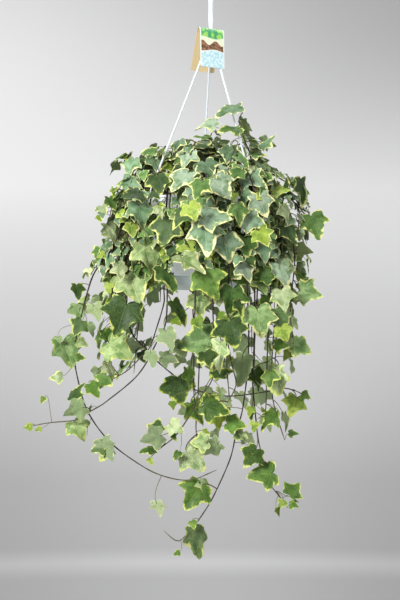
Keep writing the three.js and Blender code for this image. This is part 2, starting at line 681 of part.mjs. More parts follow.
// The petiole's middle line from the blade to the stem; a large leaf's is bowed, to end along the
// blade
function petiole({ start, base, along, outline }) {
  if (outline !== LARGE_BLADE) return [base, start];
  const bend = plus(base, along, -Math.min(PETIOLE_BEND * apart(start, base), LONGEST_BEND));
  return [base, mix(mix(start, bend, 0.5), mix(bend, base, 0.5), 0.5), start];
}

// Leaf with its petiole as one closed surface. The petiole is three-sided: two of its edges run
// into the notch of the blade's outline and the third ends under it
function leafGeometry(leaf) {
  const { edge, rib, widest } = leaf.outline;
  const places = [];
  const put = (place) => places.push(place) - 1;
  const triangles = [];
  const { along, face, across, base } = leaf;
  const section = (place, s, f, radius) => [
    put(plus(place, s, -radius)),
    put(plus(place, s, radius)),
    put(plus(place, f, -1.5 * radius)),
  ];
  const notch = section(base, across, face, PETIOLE_RADIUS);
  const [left, right, under] = notch;
  const sides = [-1, 1].map((hand) => [
    hand < 0 ? left : right,
    ...edge.map(([u, v]) => put(bladePoint(leaf, hand * u, v))),
  ]);
  const tip = put(bladePoint(leaf, 0, TIP));
  const midrib = (hand) =>
    rib.map((v) => put(plus(bladePoint(leaf, 0, v), face, (hand * BLADE_THICK) / 2)));
  const top = midrib(1);
  const bottom = midrib(-1);
  // each half fans out from the rib's points, which change over where the side lobe ends
  sides.forEach((outline, half) => {
    const rim = [...outline, tip];
    for (let i = 0; i < rim.length - 1; i += 1) {
      const hub = i < widest ? 0 : 1;
      const [a, b] = half ? [rim[i], rim[i + 1]] : [rim[i + 1], rim[i]];
      triangles.push([top[hub], b, a], [bottom[hub], a, b]);
    }
    if (rib.length > 1) {
      const [a, b] = half ? [0, 1] : [1, 0];
      triangles.push([top[a], top[b], rim[widest]], [bottom[b], bottom[a], rim[widest]]);
    }
  });
  triangles.push([top[0], right, left], [bottom[0], under, right], [bottom[0], left, under]);
  // the petiole's sides, from the notch back to the stem
  const line = petiole(leaf);
  let ring = notch;
  let way = along;
  let s = across;
  let f = face;
  for (let k = 1; k < line.length; k += 1) {
    const next = unit(plus(line[k - 1], line[line.length - 1], -1));
    s = swing(s, way, next);
    f = swing(f, way, next);
    way = next;
    const radius = k + 1 < line.length ? PETIOLE_RADIUS : START_RADIUS;
    const corners = section(line[k], s, f, radius);
    for (let i = 0; i < 3; i += 1) {
      const j = (i + 1) % 3;
      triangles.push([ring[i], ring[j], corners[i]], [ring[j], corners[j], corners[i]]);
    }
    ring = corners;
  }
  triangles.push([ring[0], ring[1], ring[2]]);
  const geometry = new THREE.BufferGeometry();
  geometry.setAttribute("position", new THREE.BufferAttribute(new Float32Array(places.flat()), 3));
  geometry.setIndex(triangles.flat());
  return geometry;
}

// Everything that takes up room, as points with a radius and the stem that they belong to
const taken = [];

function take(place, room, owner) {
  taken.push({ place, room, owner });
}

// Points every few millimetres along a line of places
function dotted(places, pitch) {
  const dots = [];
  for (let i = 0; i + 1 < places.length; i += 1) {
    const count = Math.max(1, Math.ceil(apart(places[i], places[i + 1]) / pitch));
    for (let k = 0; k < count; k += 1) dots.push(mix(places[i], places[i + 1], k / count));
  }
  dots.push(places[places.length - 1]);
  return dots;
}

// Whether a point is clear of the pot, its saucer and its soil
function clearOfPot([x, y, z]) {
  const out = Math.hypot(x - POT_X, y);
  if (z > RIM_TOP + POT_ROOM || z < SAUCER_BASE - POT_ROOM) return true;
  if (z > RIM_TOP - RIM_DROP - POT_ROOM) {
    if (out > RIM_RADIUS + POT_ROOM) return true;
    return z > SOIL_TOP + POT_ROOM && out < POT_TOP_RADIUS - WALL - POT_ROOM;
  }
  const slope = (POT_TOP_RADIUS - POT_BASE_RADIUS) / (RIM_TOP - POT_BASE);
  const wall = Math.max(POT_BASE_RADIUS + slope * (z - POT_BASE), SAUCER_RADIUS);
  return out > wall + POT_ROOM;
}

// The points that a leaf needs room at: its blade's and its petiole's
function pointsOf(leaf) {
  const { edge } = leaf.outline;
  const rim = [...edge, [0, TIP]];
  const halves = edge.flatMap(([u, v], i) => {
    const between = [(u + rim[i + 1][0]) / 2, (v + rim[i + 1][1]) / 2];
    const places = [[u, v], between, [u / 2, v * 0.8]];
    return [...places, ...places.map(([across, along]) => [-across, along])];
  });
  const ribs = [[0, 0.12], [0, 0.3], [0, 0.5], [0, 0.68], [0, TIP]];
  const blade = [...halves, ...ribs].map(([u, v]) => bladePoint(leaf, u, v));
  const stalk = dotted(petiole(leaf), 4);
  return { blade, stalk };
}

function fits(leaf, owner) {
  const { blade, stalk } = pointsOf(leaf);
  if (![...blade, ...stalk].every(clearOfPot)) return false;
  const near = (points, room, other) =>
    points.some((point) => {
      const reach = room + other.room;
      return Math.abs(point[0] - other.place[0]) < reach && apart(point, other.place) < reach;
    });
  return !taken.some((other) => {
    if (near(blade, BLADE_ROOM, other)) {
      return other.owner !== owner || apart(other.place, leaf.start) > 14;
    }
    return other.owner !== owner && near(stalk, PETIOLE_ROOM, other);
  });
}

// The stem's ring that a leaf's petiole grows from
function ringFor(stem, base, along) {
  const wanted = plus(base, along, -14);
  return stem.rings.slice(2).reduce((a, b) => (apart(b, wanted) < apart(a, wanted) ? b : a));
}

// Tries the leaf's places one after another, and keeps the first that is clear
function grow(stem, leaf, placeAt, ring) {
  for (const shift of LEAF_SHIFTS) {
    const centre = placeAt(shift);
    const base = plus(centre, leaf.along, -BASE_TO_CENTRE * leaf.long);
    const start = ring ?? ringFor(stem, base, leaf.along);
    const tried = { ...leaf, base, start };
    if (fits(tried, stem.name)) {
      stem.leaves.push(tried);
      const { blade, stalk } = pointsOf(tried);
      blade.forEach((point) => take(point, BLADE_ROOM, stem.name));
      stalk.forEach((point) => take(point, PETIOLE_ROOM, stem.name));
      return true;
    }
  }
  return false;
}

const draw = draws(SEED);
const trailers = Object.entries(TRAILERS).map(([name, [degrees, radius, route]]) =>
  trailer(name, degrees, radius, route.map(inSight), STEM_STEP));
const shoots = Object.entries(SHOOTS).map(([name, [degrees, radius, route]]) =>
  shoot(name, degrees, radius, route.map(inSight), SHOOT_STEP));
const backTrailers = Array.from({ length: BACK_TRAILERS }, (_, i) => backTrailer(i, draw));
const backShoots = Array.from({ length: BACK_SHOOTS }, (_, i) => backShoot(i));
const front = [...trailers, ...shoots];
const stems = [...front, ...backTrailers, ...backShoots];

for (const stem of stems) {
  dotted(stem.rings, 5).forEach((point) => take(point, STEM_ROOM, stem.name));
}
for (const degrees of Object.values(STRANDS)) {
  const { start, rim } = strandEnds(degrees);
  dotted([start, [...rim, RIM_TOP]], 5).forEach((point) => take(point, STEM_ROOM, "hanger"));
}

// Front leaves, the longest first: each grows from the front stem that is seen nearest to it
for (const [across, up, long, tip, turn] of [...LEAVES].sort((a, b) => b[2] - a[2])) {
  const far = (ring) => {
    const [x, z] = seenAt(ring);
    return Math.hypot(x - across, z - up);
  };
  const nearest = (stem) => stem.rings.slice(2).reduce((a, b) => (far(b) < far(a) ? b : a));
  const stem = front.reduce((a, b) => (far(nearest(b)) < far(nearest(a)) ? b : a));
  const depth = nearest(stem)[1] - LEAF_FRONT;
  const lean = 5 + 20 * draw();
  const shape = { long, fold: 0.05 + 0.12 * draw(), droop: 0.08 + 0.2 * draw() };
  const leaf = { ...shape, outline: outlineFor(long), ...frameOf(-90, tip, turn, lean) };
  grow(stem, leaf, (shift) => inSight([across, depth - shift, up]));
}

// Leaves of the back stems, one at each ring, on alternate sides
for (const stem of [...backTrailers, ...backShoots]) {
  const crown = stem.name.startsWith("shoot");
  const first = crown ? 2 : 3;
  for (let i = first; i < stem.rings.length; i += 1) {
    const ring = stem.rings[i];
    const share = i / (stem.rings.length - 1);
    const hand = i % 2 ? 1 : -1;
    const facing = (Math.atan2(ring[1], ring[0] - POT_X) * 180) / Math.PI + 30 * (draw() - 0.5);
    const [big, small] = BACK_LEAF_LENGTHS;
    const long = (big + (small - big) * share) * (0.85 + 0.3 * draw());
    const tip = hand * (8 + 50 * draw());
    const turn = 50 * (draw() - 0.5);
    const lean = crown ? 35 + 30 * draw() : 5 + 30 * draw();
    const shape = { long, fold: 0.05 + 0.12 * draw(), droop: 0.08 + 0.2 * draw() };
    const leaf = { ...shape, outline: MEDIUM_BLADE, ...frameOf(facing, tip, turn, lean) };
    const out = [Math.cos(radians(facing)), Math.sin(radians(facing)), 0];
    const right = [-out[1], out[0], 0];
    const forward = 14 + 10 * draw();
    const aside = hand * (12 + 14 * draw());
    const lower = crown ? -6 : 12 + 10 * draw();
    const middle = plus(plus(ring, right, aside), [0, 0, -lower]);
    grow(stem, leaf, (shift) => plus(middle, out, forward + shift), ring);
  }
}

// Stem and leaves fused into one solid
function stemGeometry(stem) {
  const corners = Array.from({ length: STEM_SIDES }, (_, i) => {
    const angle = (2 * Math.PI * i) / STEM_SIDES;
    return new THREE.Vector2(STEM_RADIUS * Math.cos(angle), STEM_RADIUS * Math.sin(angle));
  });
  const tube = new THREE.ExtrudeGeometry(new THREE.Shape(corners), {
    steps: stem.steps,
    extrudePath: stem.curve,
    bevelEnabled: false,
  });
  return surface(stem.leaves.reduce((body, leaf) => body.add(solid(leafGeometry(leaf))), solid(tube)));
}

const ivy = new THREE.Group();
ivy.add(piece("hook", hook(), whitePlastic()));
for (const [name, degrees] of Object.entries(STRANDS)) {
  ivy.add(piece(`strand_${name}`, strand(degrees), whitePlastic()));
}
ivy.add(piece("care_card", card(), finish(0xeef0e6, 0.5)));
ivy.add(piece("pot", pot(), whitePlastic()));
ivy.add(piece("saucer", saucer(), finish(0xcfd6d3, 0.45)));
ivy.add(piece("soil", soil(stems), finish(0x3a2c22, 0.95)));
for (const stem of stems) {
  ivy.add(piece(stem.name, stemGeometry(stem), leafGreen()));
}

export default ivy;
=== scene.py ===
# %% [markdown]
# # A variegated ivy in a hanging pot
# Cuttings of ivy are rooted in a white plastic pot, and the pot hangs by three strands from a moulded
# hook. The plant was measured and laid out as solids first: here each solid gets a finished piece in
# its place. Lengths are in millimetres, as on the bench, and become metres where a mesh is made.

import bpy
import numpy as np
from mathutils import Matrix
from mathutils.kdtree import KDTree


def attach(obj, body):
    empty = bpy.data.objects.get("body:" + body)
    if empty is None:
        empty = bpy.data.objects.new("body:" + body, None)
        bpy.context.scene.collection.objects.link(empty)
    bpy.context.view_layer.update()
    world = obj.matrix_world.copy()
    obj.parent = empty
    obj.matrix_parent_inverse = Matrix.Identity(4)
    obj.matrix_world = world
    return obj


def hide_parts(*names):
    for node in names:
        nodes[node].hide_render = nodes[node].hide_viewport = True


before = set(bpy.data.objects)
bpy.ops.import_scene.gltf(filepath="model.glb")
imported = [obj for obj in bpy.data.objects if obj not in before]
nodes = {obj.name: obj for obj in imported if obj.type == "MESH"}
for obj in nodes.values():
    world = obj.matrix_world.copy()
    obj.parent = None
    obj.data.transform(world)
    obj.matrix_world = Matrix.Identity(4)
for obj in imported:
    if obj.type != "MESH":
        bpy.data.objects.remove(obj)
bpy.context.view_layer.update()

MM = 0.001

# %% [markdown]
# The photograph was taken level with the middle of the plant, from about two and a half metres, a
# little to its left. A long lens at that distance gives the same flat perspective. The picture is
# upright, so the lens is set against its height.

# %% Camera
EYE = np.array([-16.0, -2500.0, -473.0])
camera_data = bpy.data.cameras.new("camera")
camera_data.sensor_fit = "VERTICAL"
camera_data.sensor_height, camera_data.lens = 36, 100
camera_data.clip_start, camera_data.clip_end = 0.1, 20
camera = bpy.data.objects.new("camera", camera_data)
camera.location = EYE * MM
camera.rotation_euler = (np.pi / 2, 0, 0)
bpy.context.scene.collection.objects.link(camera)
bpy.context.scene.camera = camera
print("camera at", [round(x, 3) for x in camera.location])

# %% [markdown]
# A finish is a small network of nodes. Written as plain formulas it stays readable, so one class stands
# for a socket and turns + - * / into Math nodes, and one class stands for the finish and adds every
# other node through a single method. Colours are given as they look on a screen.

# %% Formulas for finishes
class Number:
    """The value of a socket: an operator on it adds a Math node."""

    def __init__(self, finish, socket):
        self.finish = finish
        self.socket = socket

    def math(self, operation, a, b=0.0):
        return self.finish.add("ShaderNodeMath", {"operation": operation}, {0: a, 1: b})

    def __add__(self, other):
        return self.math("ADD", self, other)

    def __radd__(self, other):
        return self.math("ADD", other, self)

    def __sub__(self, other):
        return self.math("SUBTRACT", self, other)

    def __rsub__(self, other):
        return self.math("SUBTRACT", other, self)

    def __mul__(self, other):
        return self.math("MULTIPLY", self, other)

    def __rmul__(self, other):
        return self.math("MULTIPLY", other, self)

    def __truediv__(self, other):
        return self.math("DIVIDE", self, other)

    def __rtruediv__(self, other):
        return self.math("DIVIDE", other, self)

    def size(self):
        return self.math("ABSOLUTE", self)

    def least(self, other):
        return self.math("MINIMUM", self, other)

    def sine(self):
        return self.math("SINE", self)


def screen(text):
    """A colour as on a screen, such as 7f9f86, as the shader's own light values."""
    shown = np.array([int(text[i:i + 2], 16) for i in (0, 2, 4)]) / 255
    linear = np.where(shown <= 0.04045, shown / 12.92, ((shown + 0.055) / 1.055) ** 2.4)
    return (*map(float, linear), 1.0)


class Finish:
    """A material whose nodes are all added by one method."""

    def __init__(self, name, **even):
        self.material = bpy.data.materials.new(name)
        self.material.use_nodes = True
        self.tree = self.material.node_tree
        self.shader = next(node for node in self.tree.nodes if node.type == "BSDF_PRINCIPLED")
        for socket, value in even.items():
            self.shader.inputs[socket.replace("_", " ")].default_value = value

    def add(self, kind, settings, inputs, output=0):
        """A node of that kind: its settings first, then values or links for its sockets."""
        node = self.tree.nodes.new(kind)
        for setting, value in settings.items():
            if setting == "stops":
                self.fill(node.color_ramp, value)
            else:
                setattr(node, setting, value)
        for socket, value in inputs.items():
            self.feed(node.inputs[socket], value)
        return Number(self, node.outputs[output])

    def fill(self, ramp, stops):
        while len(ramp.elements) < len(stops):
            ramp.elements.new(1)
        for element, (place, colour) in zip(ramp.elements, stops):
            element.position = place
            element.color = colour

    def feed(self, socket, value):
        if isinstance(value, Number):
            self.tree.links.new(value.socket, socket)
        else:
            socket.default_value = value

    def place(self):
        """Where the surface is, in metres."""
        return self.add("ShaderNodeTexCoord", {}, {}, "Object")

    def attribute(self, name, output="Fac"):
        return self.add("ShaderNodeAttribute", {"attribute_name": name}, {}, output)

    def parts(self, vector):
        """The three numbers of a vector."""
        split = self.add("ShaderNodeSeparateXYZ", {}, {0: vector}).socket.node
        return [Number(self, output) for output in split.outputs]

    def vector(self, x, y, z=0.0):
        return self.add("ShaderNodeCombineXYZ", {}, {0: x, 1: y, 2: z})

    def stretch(self, vector, scale):
        """A vector times a vector, number by number."""
        return self.add("ShaderNodeVectorMath", {"operation": "MULTIPLY"}, {0: vector, 1: scale})

    def noise(self, vector, scale, detail=2.0, rough=0.5):
        inputs = {"Vector": vector, "Scale": scale, "Detail": detail, "Roughness": rough}
        return self.add("ShaderNodeTexNoise", {}, inputs)

    def cells(self, vector, scale, feature="F1"):
        """How far it is to the nearest of some scattered points, or to the edge between two."""
        inputs = {"Vector": vector, "Scale": scale}
        return self.add("ShaderNodeTexVoronoi", {"feature": feature}, inputs, "Distance")

    def step(self, value, low, high):
        """0 below low, 1 above high, and a smooth rise between them. It falls if low is above high."""
        settings = {"interpolation_type": "SMOOTHSTEP"}
        return self.add("ShaderNodeMapRange", settings, {"Value": value, 1: low, 2: high})

    def blend(self, share, first, second):
        """The first colour at share 0, the second at 1. Either may be given as it is on a screen."""
        first, second = (screen(tone) if isinstance(tone, str) else tone for tone in (first, second))
        return self.add("ShaderNodeMix", {"data_type": "RGBA"}, {0: share, 6: first, 7: second}, 2)

    def bump(self, height, deep, strength=1.0):
        """A normal from a height between 0 and 1, for relief that many metres deep."""
        inputs = {"Height": height, "Distance": deep, "Strength": strength}
        return self.add("ShaderNodeBump", {}, inputs)

    def wear(self, colour=None, rough=None, normal=None):
        for socket, value in (("Base Color", colour), ("Roughness", rough), ("Normal", normal)):
            if value is not None:
                self.feed(self.shader.inputs[socket], value)
        return self.material


print("finishes are written with", [name for name in vars(Finish) if not name.startswith("_")])

# %% [markdown]
# A surface is a list of points and faces. Several may go into one piece, such as a stem with all of
# its leaves, so a small class gathers them with what each point knows: where it lies on its blade, and
# the green of its leaf. Whole arrays go into the mesh at once.

# %% Surfaces and pieces
class Surface:
    """Points and faces, gathered part by part."""

    def __init__(self):
        self.places = []
        self.notes = []
        self.tints = []
        self.faces = []
        self.slots = []
        self.count = 0

    def add(self, places, faces, slot=0, notes=None, tints=None):
        """Points (n, 3) in mm, face arrays of point numbers, and per point a note and a tint of red,
        green, blue and a fourth number."""
        n = len(places)
        self.places.append(places)
        self.notes.append(np.zeros((n, 3)) if notes is None else notes)
        tint = np.ones((n, 4))
        if tints is not None:
            tint[:, :tints.shape[-1]] = tints
        self.tints.append(tint)
        for part in faces:
            self.faces.append(part + self.count)
            self.slots.append(np.full(len(part), slot))
        self.count += n
        return self


def mesh_from(name, surface, materials):
    """The surface as a mesh in metres, with its notes and tints as attributes of its points."""
    mesh = bpy.data.meshes.new(name)
    corners = np.concatenate([part.ravel() for part in surface.faces])
    sides = np.concatenate([np.full(len(part), part.shape[1]) for part in surface.faces])
    mesh.vertices.add(surface.count)
    mesh.vertices.foreach_set("co", (np.concatenate(surface.places) * MM).ravel())
    mesh.loops.add(len(corners))
    mesh.loops.foreach_set("vertex_index", corners.astype(np.int32))
    mesh.polygons.add(len(sides))
    mesh.polygons.foreach_set("loop_start", (np.cumsum(sides) - sides).astype(np.int32))
    mesh.polygons.foreach_set("material_index", np.concatenate(surface.slots).astype(np.int32))
    mesh.update(calc_edges=True)
    mesh.validate()
    mesh.shade_smooth()
    note = mesh.attributes.new("note", "FLOAT_VECTOR", "POINT")
    note.data.foreach_set("vector", np.concatenate(surface.notes).ravel())
    tint = mesh.attributes.new("tint", "FLOAT_COLOR", "POINT")
    tint.data.foreach_set("color", np.concatenate(surface.tints).ravel())
    for material in materials:
        mesh.materials.append(material)
    return mesh


def make_piece(name, surface, materials, replaced, sharp=None):
    """A finished piece that rides on the pot's body and stands for the solids named."""
    mesh = mesh_from(name, surface, materials)
    if sharp:
        mesh.set_sharp_from_angle(angle=np.radians(sharp))
    piece = bpy.data.objects.new(name, mesh)
    bpy.context.scene.collection.objects.link(piece)
    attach(piece, "root")
    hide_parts(*replaced)
    print(name, "points", len(mesh.vertices), "faces", len(mesh.polygons))
    return piece


def ring_faces(rows, sides):
    """Quads between rows of points, each row a closed ring."""
    i, j = np.meshgrid(np.arange(rows - 1), np.arange(sides), indexing="ij")
    k = (j + 1) % sides
    return np.stack([i * sides + j, i * sides + k, (i + 1) * sides + k, (i + 1) * sides + j],
                    -1).reshape(-1, 4)


def closed_rings(places):
    """A closed surface from rings (rows, sides, 3): quads between them, a fan on a middle point at
    each end. Its faces are turned outwards if the volume they enclose comes out negative."""
    rows, sides = places.shape[:2]
    points = np.concatenate([places.reshape(-1, 3), places[[0, -1]].mean(1)])
    j = np.arange(sides)
    k = (j + 1) % sides
    last = (rows - 1) * sides
    first_fan = np.stack([np.full(sides, rows * sides), k, j], -1)
    last_fan = np.stack([np.full(sides, rows * sides + 1), last + j, last + k], -1)
    faces = [ring_faces(rows, sides), first_fan, last_fan]
    return points, outward(points, faces)


def outward(points, faces):
    """The faces, turned round if together they enclose a negative volume."""
    volume = 0.0
    for part in faces:
        for k in range(1, part.shape[1] - 1):
            a, b, c = points[part[:, 0]], points[part[:, k]], points[part[:, k + 1]]
            volume += np.einsum("ij,ij->", a, np.cross(b, c))
    return faces if volume > 0 else [part[:, ::-1] for part in faces]


def eased(profile, cut=0.7, steps=3):
    """An open line of points whose inner corners are rounded: each corner gives way to a short
    parabola that leaves its two sides the length cut from the corner."""
    line = np.array(profile, float)
    before, corner, after = line[:-2], line[1:-1], line[2:]
    back = np.linalg.norm(before - corner, axis=1)[:, None]
    on = np.linalg.norm(after - corner, axis=1)[:, None]
    start = corner + (before - corner) * np.minimum(cut / back, 0.45)
    end = corner + (after - corner) * np.minimum(cut / on, 0.45)
    t = np.linspace(0, 1, steps)[None, :, None]
    bends = (1 - t) ** 2 * start[:, None] + 2 * t * (1 - t) * corner[:, None] + t**2 * end[:, None]
    return np.concatenate([line[:1], bends.reshape(-1, line.shape[1]), line[-1:]])


def turned(profile, sides, across=0.0):
    """A body turned round an upright axis: a profile of (radius, height) carried round a circle."""
    angle = np.linspace(0, 2 * np.pi, sides, endpoint=False)
    radius, height = np.array(profile).T
    x = across + radius[:, None] * np.cos(angle)
    y = radius[:, None] * np.sin(angle)
    z = np.broadcast_to(height[:, None], x.shape)
    return closed_rings(np.stack([x, y, z], -1))


print("a rounded corner:", eased([[0, 0], [5, 0], [5, 5]]).round(2).tolist())

# %% [markdown]
# The pot, its saucer, the hook and the strands are moulded in the same white plastic. Such plastic is
# never quite even: the colour drifts a little, the face has a faint orange-peel from the mould, and
# soil and water leave a dull film low down. The film follows the height, so the shader reads it from
# the place of the surface. Each piece also gives off a little light of its own colour, which is painted
# light that keeps it bright where the leaves shade it.

# %% Moulded plastic
def moulded_plastic(name, light, dull, film_from, film_to, painted_glow):
    """White plastic: two near colours drift over it, and a film grows from one height to another. It
    also gives off light of its own colour, painted light that keeps it bright where leaves shade it."""
    finish = Finish(name, IOR=1.48, Emission_Strength=painted_glow)
    place = finish.place()
    drift = finish.noise(place, 18, 3)
    grain = finish.noise(place, 1400, 2)
    height = finish.parts(place)[2]
    film = finish.step(height, film_from * MM, film_to * MM) * finish.step(drift, 0.35, 0.7)
    specks = finish.step(finish.noise(place, 420, 3, 0.7), 0.66, 0.74) * film
    colour = finish.blend(drift, light, dull)
    colour = finish.blend(film * 0.35, colour, "b9b39c")
    colour = finish.blend(specks * 0.5, colour, "6d5c46")
    rough = 0.34 + drift * 0.08 + film * 0.2 + grain * 0.05
    relief = grain * 0.4 + finish.noise(place, 160, 2) * 0.6
    # Painted light: the plastic gives off light of its own colour.
    finish.feed(finish.shader.inputs["Emission Color"], colour)
    return finish.wear(colour, rough, finish.bump(relief, 0.0002, 0.5))


# The last number is painted light: how strongly each plastic gives off light of its own colour.
white_plastic = moulded_plastic("white_plastic", "e6ecee", "d3dcdf", -395, -440, 0.3)
# The saucer's white is painted greyer and gives off less light than the pot's: painted shade under the
# pot.
grey_plastic = moulded_plastic("grey_plastic", "d2dee1", "bccace", -436, -462, 0.15)
hanger_plastic = moulded_plastic("hanger_plastic", "d8dfe4", "ccd4da", -290, -345, 0.12)
print("plastics:", white_plastic.name, grey_plastic.name, hanger_plastic.name)

# %% [markdown]
# The hook is a strap bent over the rod that it hangs from, with the thickness of a pencil lead case and
# twice as wide. A section with rounded corners is carried along the bend, which lies in an upright
# plane, so the section's width always points along X. Below, the strap narrows to a neck, and the neck
# stands on a small collar and a hub that the strands spring from.

# %% Hook
HOOK_RADIUS = 11.0
STRAP_THICK = 3.0
STRAP_WIDE, TIP_WIDE, NECK_WIDE = 6.8, 5.2, 3.8
TIP_ROWS = 5
TIP_LOW, TIP_HIGH = -28.4, -14.0
SHANK_TOP, SHANK_SHIFT, SHANK_CENTRED, SHANK_LOW = -12.0, -26.0, -46.0, -77.0
TAPER_TOP, TAPER_END = -52.0, -63.0
HUB_BASE = -84.0
HUB_PROFILE = [[0.4, HUB_BASE], [5, HUB_BASE], [5, -76], [3.4, -70.6], [3.4, -68.6], [0.4, -68.6]]


def hook_line():
    """The strap's middle line as (y, z): up from the tip, half a circle, then back to the middle."""
    middle = HOOK_RADIUS + STRAP_THICK / 2
    angle = np.radians(np.linspace(0, 180, 25))
    bend = np.c_[middle * np.cos(angle), middle * np.sin(angle) - HOOK_RADIUS]
    tip = np.c_[np.full(TIP_ROWS, middle), np.linspace(TIP_LOW, TIP_HIGH, TIP_ROWS)]
    shank = [[-middle, SHANK_TOP], [-middle, SHANK_SHIFT], [0, SHANK_CENTRED], [0, SHANK_LOW]]
    return np.concatenate([tip, bend, eased(shank, 6, 7)])


def strap(line, wide, thick):
    """Rings of a rounded rectangle along a line in the plane through Y: each ring lies square to the
    line, wide along X and thick across it, with sides that are a circle drawn out to a rectangle."""
    way = np.gradient(line, axis=0)
    way /= np.linalg.norm(way, axis=1)[:, None]
    angle = np.linspace(0, 2 * np.pi, 20, endpoint=False)
    across = np.sign(np.cos(angle)) * np.abs(np.cos(angle)) ** 0.35
    through = np.sign(np.sin(angle)) * np.abs(np.sin(angle)) ** 0.45
    x = wide[:, None] / 2 * across
    y = line[:, :1] + way[:, 1:] * thick[:, None] / 2 * through
    z = line[:, 1:] - way[:, :1] * thick[:, None] / 2 * through
    return np.stack([x, y, z], -1)


line = hook_line()
wide = np.interp(line[:, 1], [TAPER_END, TAPER_TOP], [NECK_WIDE, STRAP_WIDE])
wide[:TIP_ROWS] = np.linspace(TIP_WIDE, STRAP_WIDE, TIP_ROWS)
thick = np.full(len(line), STRAP_THICK)
thick[:2] = [1.6, 2.6]
hub = turned(eased(HUB_PROFILE, 0.6), 40)
hook = Surface().add(*closed_rings(strap(line, wide, thick))).add(*hub)
make_piece("hanger_hook", hook, [hanger_plastic], ["hook"], 40)

# %% [markdown]
# Each strand is a thin rod, straight from the hub to the pot's rim. It turns upright there, passes
# through a hole in the rim and ends in a barb, which holds it from below. A path of points with a
# radius at each is enough: a circle is carried along it, and the circle's own axes are passed from
# point to point with as little turn as possible, so that the tube never twists.

# %% Strands
POT_X = -13.0
RIM_TOP = -320.0
STRANDS = {"left": 210, "right": 330, "rear": 90}
STRAND_START = 3.6  # from the middle of the hub
STRAND_RING = 88.6  # from the pot's axis, at the rim
STRAND_RADIUS = 1.4
ROOT_RADII = [2.1, 1.9, 1.55]
# From the rim down: place and radius
BARB = [[-2.0, 1.5], [-2.3, 2.0], [-4.2, 1.9], [-6.1, 1.45]]


def around(degrees, radius, height):
    """A point at an angle and a radius round the pot's axis."""
    angle = np.radians(degrees)
    return np.array([POT_X + radius * np.cos(angle), radius * np.sin(angle), height])


def outwards(degrees):
    """The level direction that points out from the pot's axis at an angle."""
    return around(degrees, 1, 0) - around(degrees, 0, 0)


def to_right(out):
    """The level direction to the right of an outward one, seen from outside."""
    return np.array([-out[1], out[0], 0])


def bearing(place):
    """The angle of a place round the pot's axis."""
    return np.degrees(np.arctan2(place[1], place[0] - POT_X))


def unit(vectors):
    """The same directions with a length of one."""
    return vectors / np.maximum(np.linalg.norm(vectors, axis=-1, keepdims=True), 1e-9)


def tubes(paths, radii, sides):
    """Tubes (n, rows, sides, 3) round n paths (n, rows, 3): the first ring's axes are square to its
    path, and each next ring takes over the axes of the one before, made square to its own path."""
    way = unit(np.gradient(paths, axis=1))
    first = np.where(np.abs(way[:, 0, 2:]) < 0.9, [[0.0, 0.0, 1.0]], [[0.0, 1.0, 0.0]])
    side = [unit(np.cross(way[:, 0], first))]
    for k in range(1, paths.shape[1]):
        held = side[-1] - way[:, k] * np.sum(side[-1] * way[:, k], -1, keepdims=True)
        side.append(unit(held))
    side = np.stack(side, 1)
    other = np.cross(way, side)
    angle = np.linspace(0, 2 * np.pi, sides, endpoint=False)
    spoke = (side[:, :, None] * np.cos(angle)[:, None] + other[:, :, None] * np.sin(angle)[:, None])
    return paths[:, :, None] + spoke * radii[..., None, None]


def strand(degrees):
    """From the hub to the rim, with a short bend above it, and the barb's cone below."""
    start = STRAND_START * outwards(degrees) + [0, 0, HUB_BASE - 0.8]
    rim = around(degrees, STRAND_RING, RIM_TOP)
    path = eased([start, rim + [0, 0, 6], rim - [0, 0, 9.8]], 5, 6)
    path = np.concatenate([np.linspace(path[0], path[1], 12)[:-1], path[1:]])
    radii = np.full(len(path), STRAND_RADIUS)
    radii[:3] = ROOT_RADII
    rod = tubes(path[None], radii[None], 12)[0]
    down, barb_radii = np.array(BARB).T
    cone = rim + np.c_[np.zeros((4, 2)), down]
    barb = tubes(cone[None], barb_radii[None], 12)[0]
    return Surface().add(*closed_rings(rod)).add(*closed_rings(barb))


for name, degrees in STRANDS.items():
    piece = f"strand_{name}"
    make_piece(f"moulded_{piece}", strand(degrees), [hanger_plastic], [piece], 50)

# %% [markdown]
# The pot is a turned body with a deep rim, and its walls are only a millimetre and a half thick. The
# profile runs from the middle of the floor up the inside, over the rim and down the outside, with every
# corner eased as a mould needs it. The holes for the strands and for draining are cut afterwards with
# one Boolean, because a turned surface can't hold them.

# %% Pot
POT_BASE = -436.0
TURNED_SIDES = 96
STRAND_HOLE = 1.75
DRAIN_RING, DRAIN_RADIUS = 36, 4
DRAINS = (45, 135, 225, 315)


def cut(piece, cutters):
    """Takes a closed surface out of a piece for good."""
    cutter = bpy.data.objects.new("cutter", mesh_from("cutter", cutters, []))
    bpy.context.scene.collection.objects.link(cutter)
    modifier = piece.modifiers.new("holes", "BOOLEAN")
    modifier.object = cutter
    modifier.solver = "EXACT"
    view = bpy.context.evaluated_depsgraph_get()
    piece.data = bpy.data.meshes.new_from_object(piece.evaluated_get(view))
    piece.modifiers.clear()
    bpy.data.objects.remove(cutter)
    print(piece.name, "with its holes: faces", len(piece.data.polygons))


def drill(place, radius, low, high):
    """A rod to cut a hole with."""
    heights = np.linspace(low, high, 3)
    path = np.c_[np.tile(place[:2], (3, 1)), heights]
    return closed_rings(tubes(path[None], np.full((1, 3), radius), 24)[0])


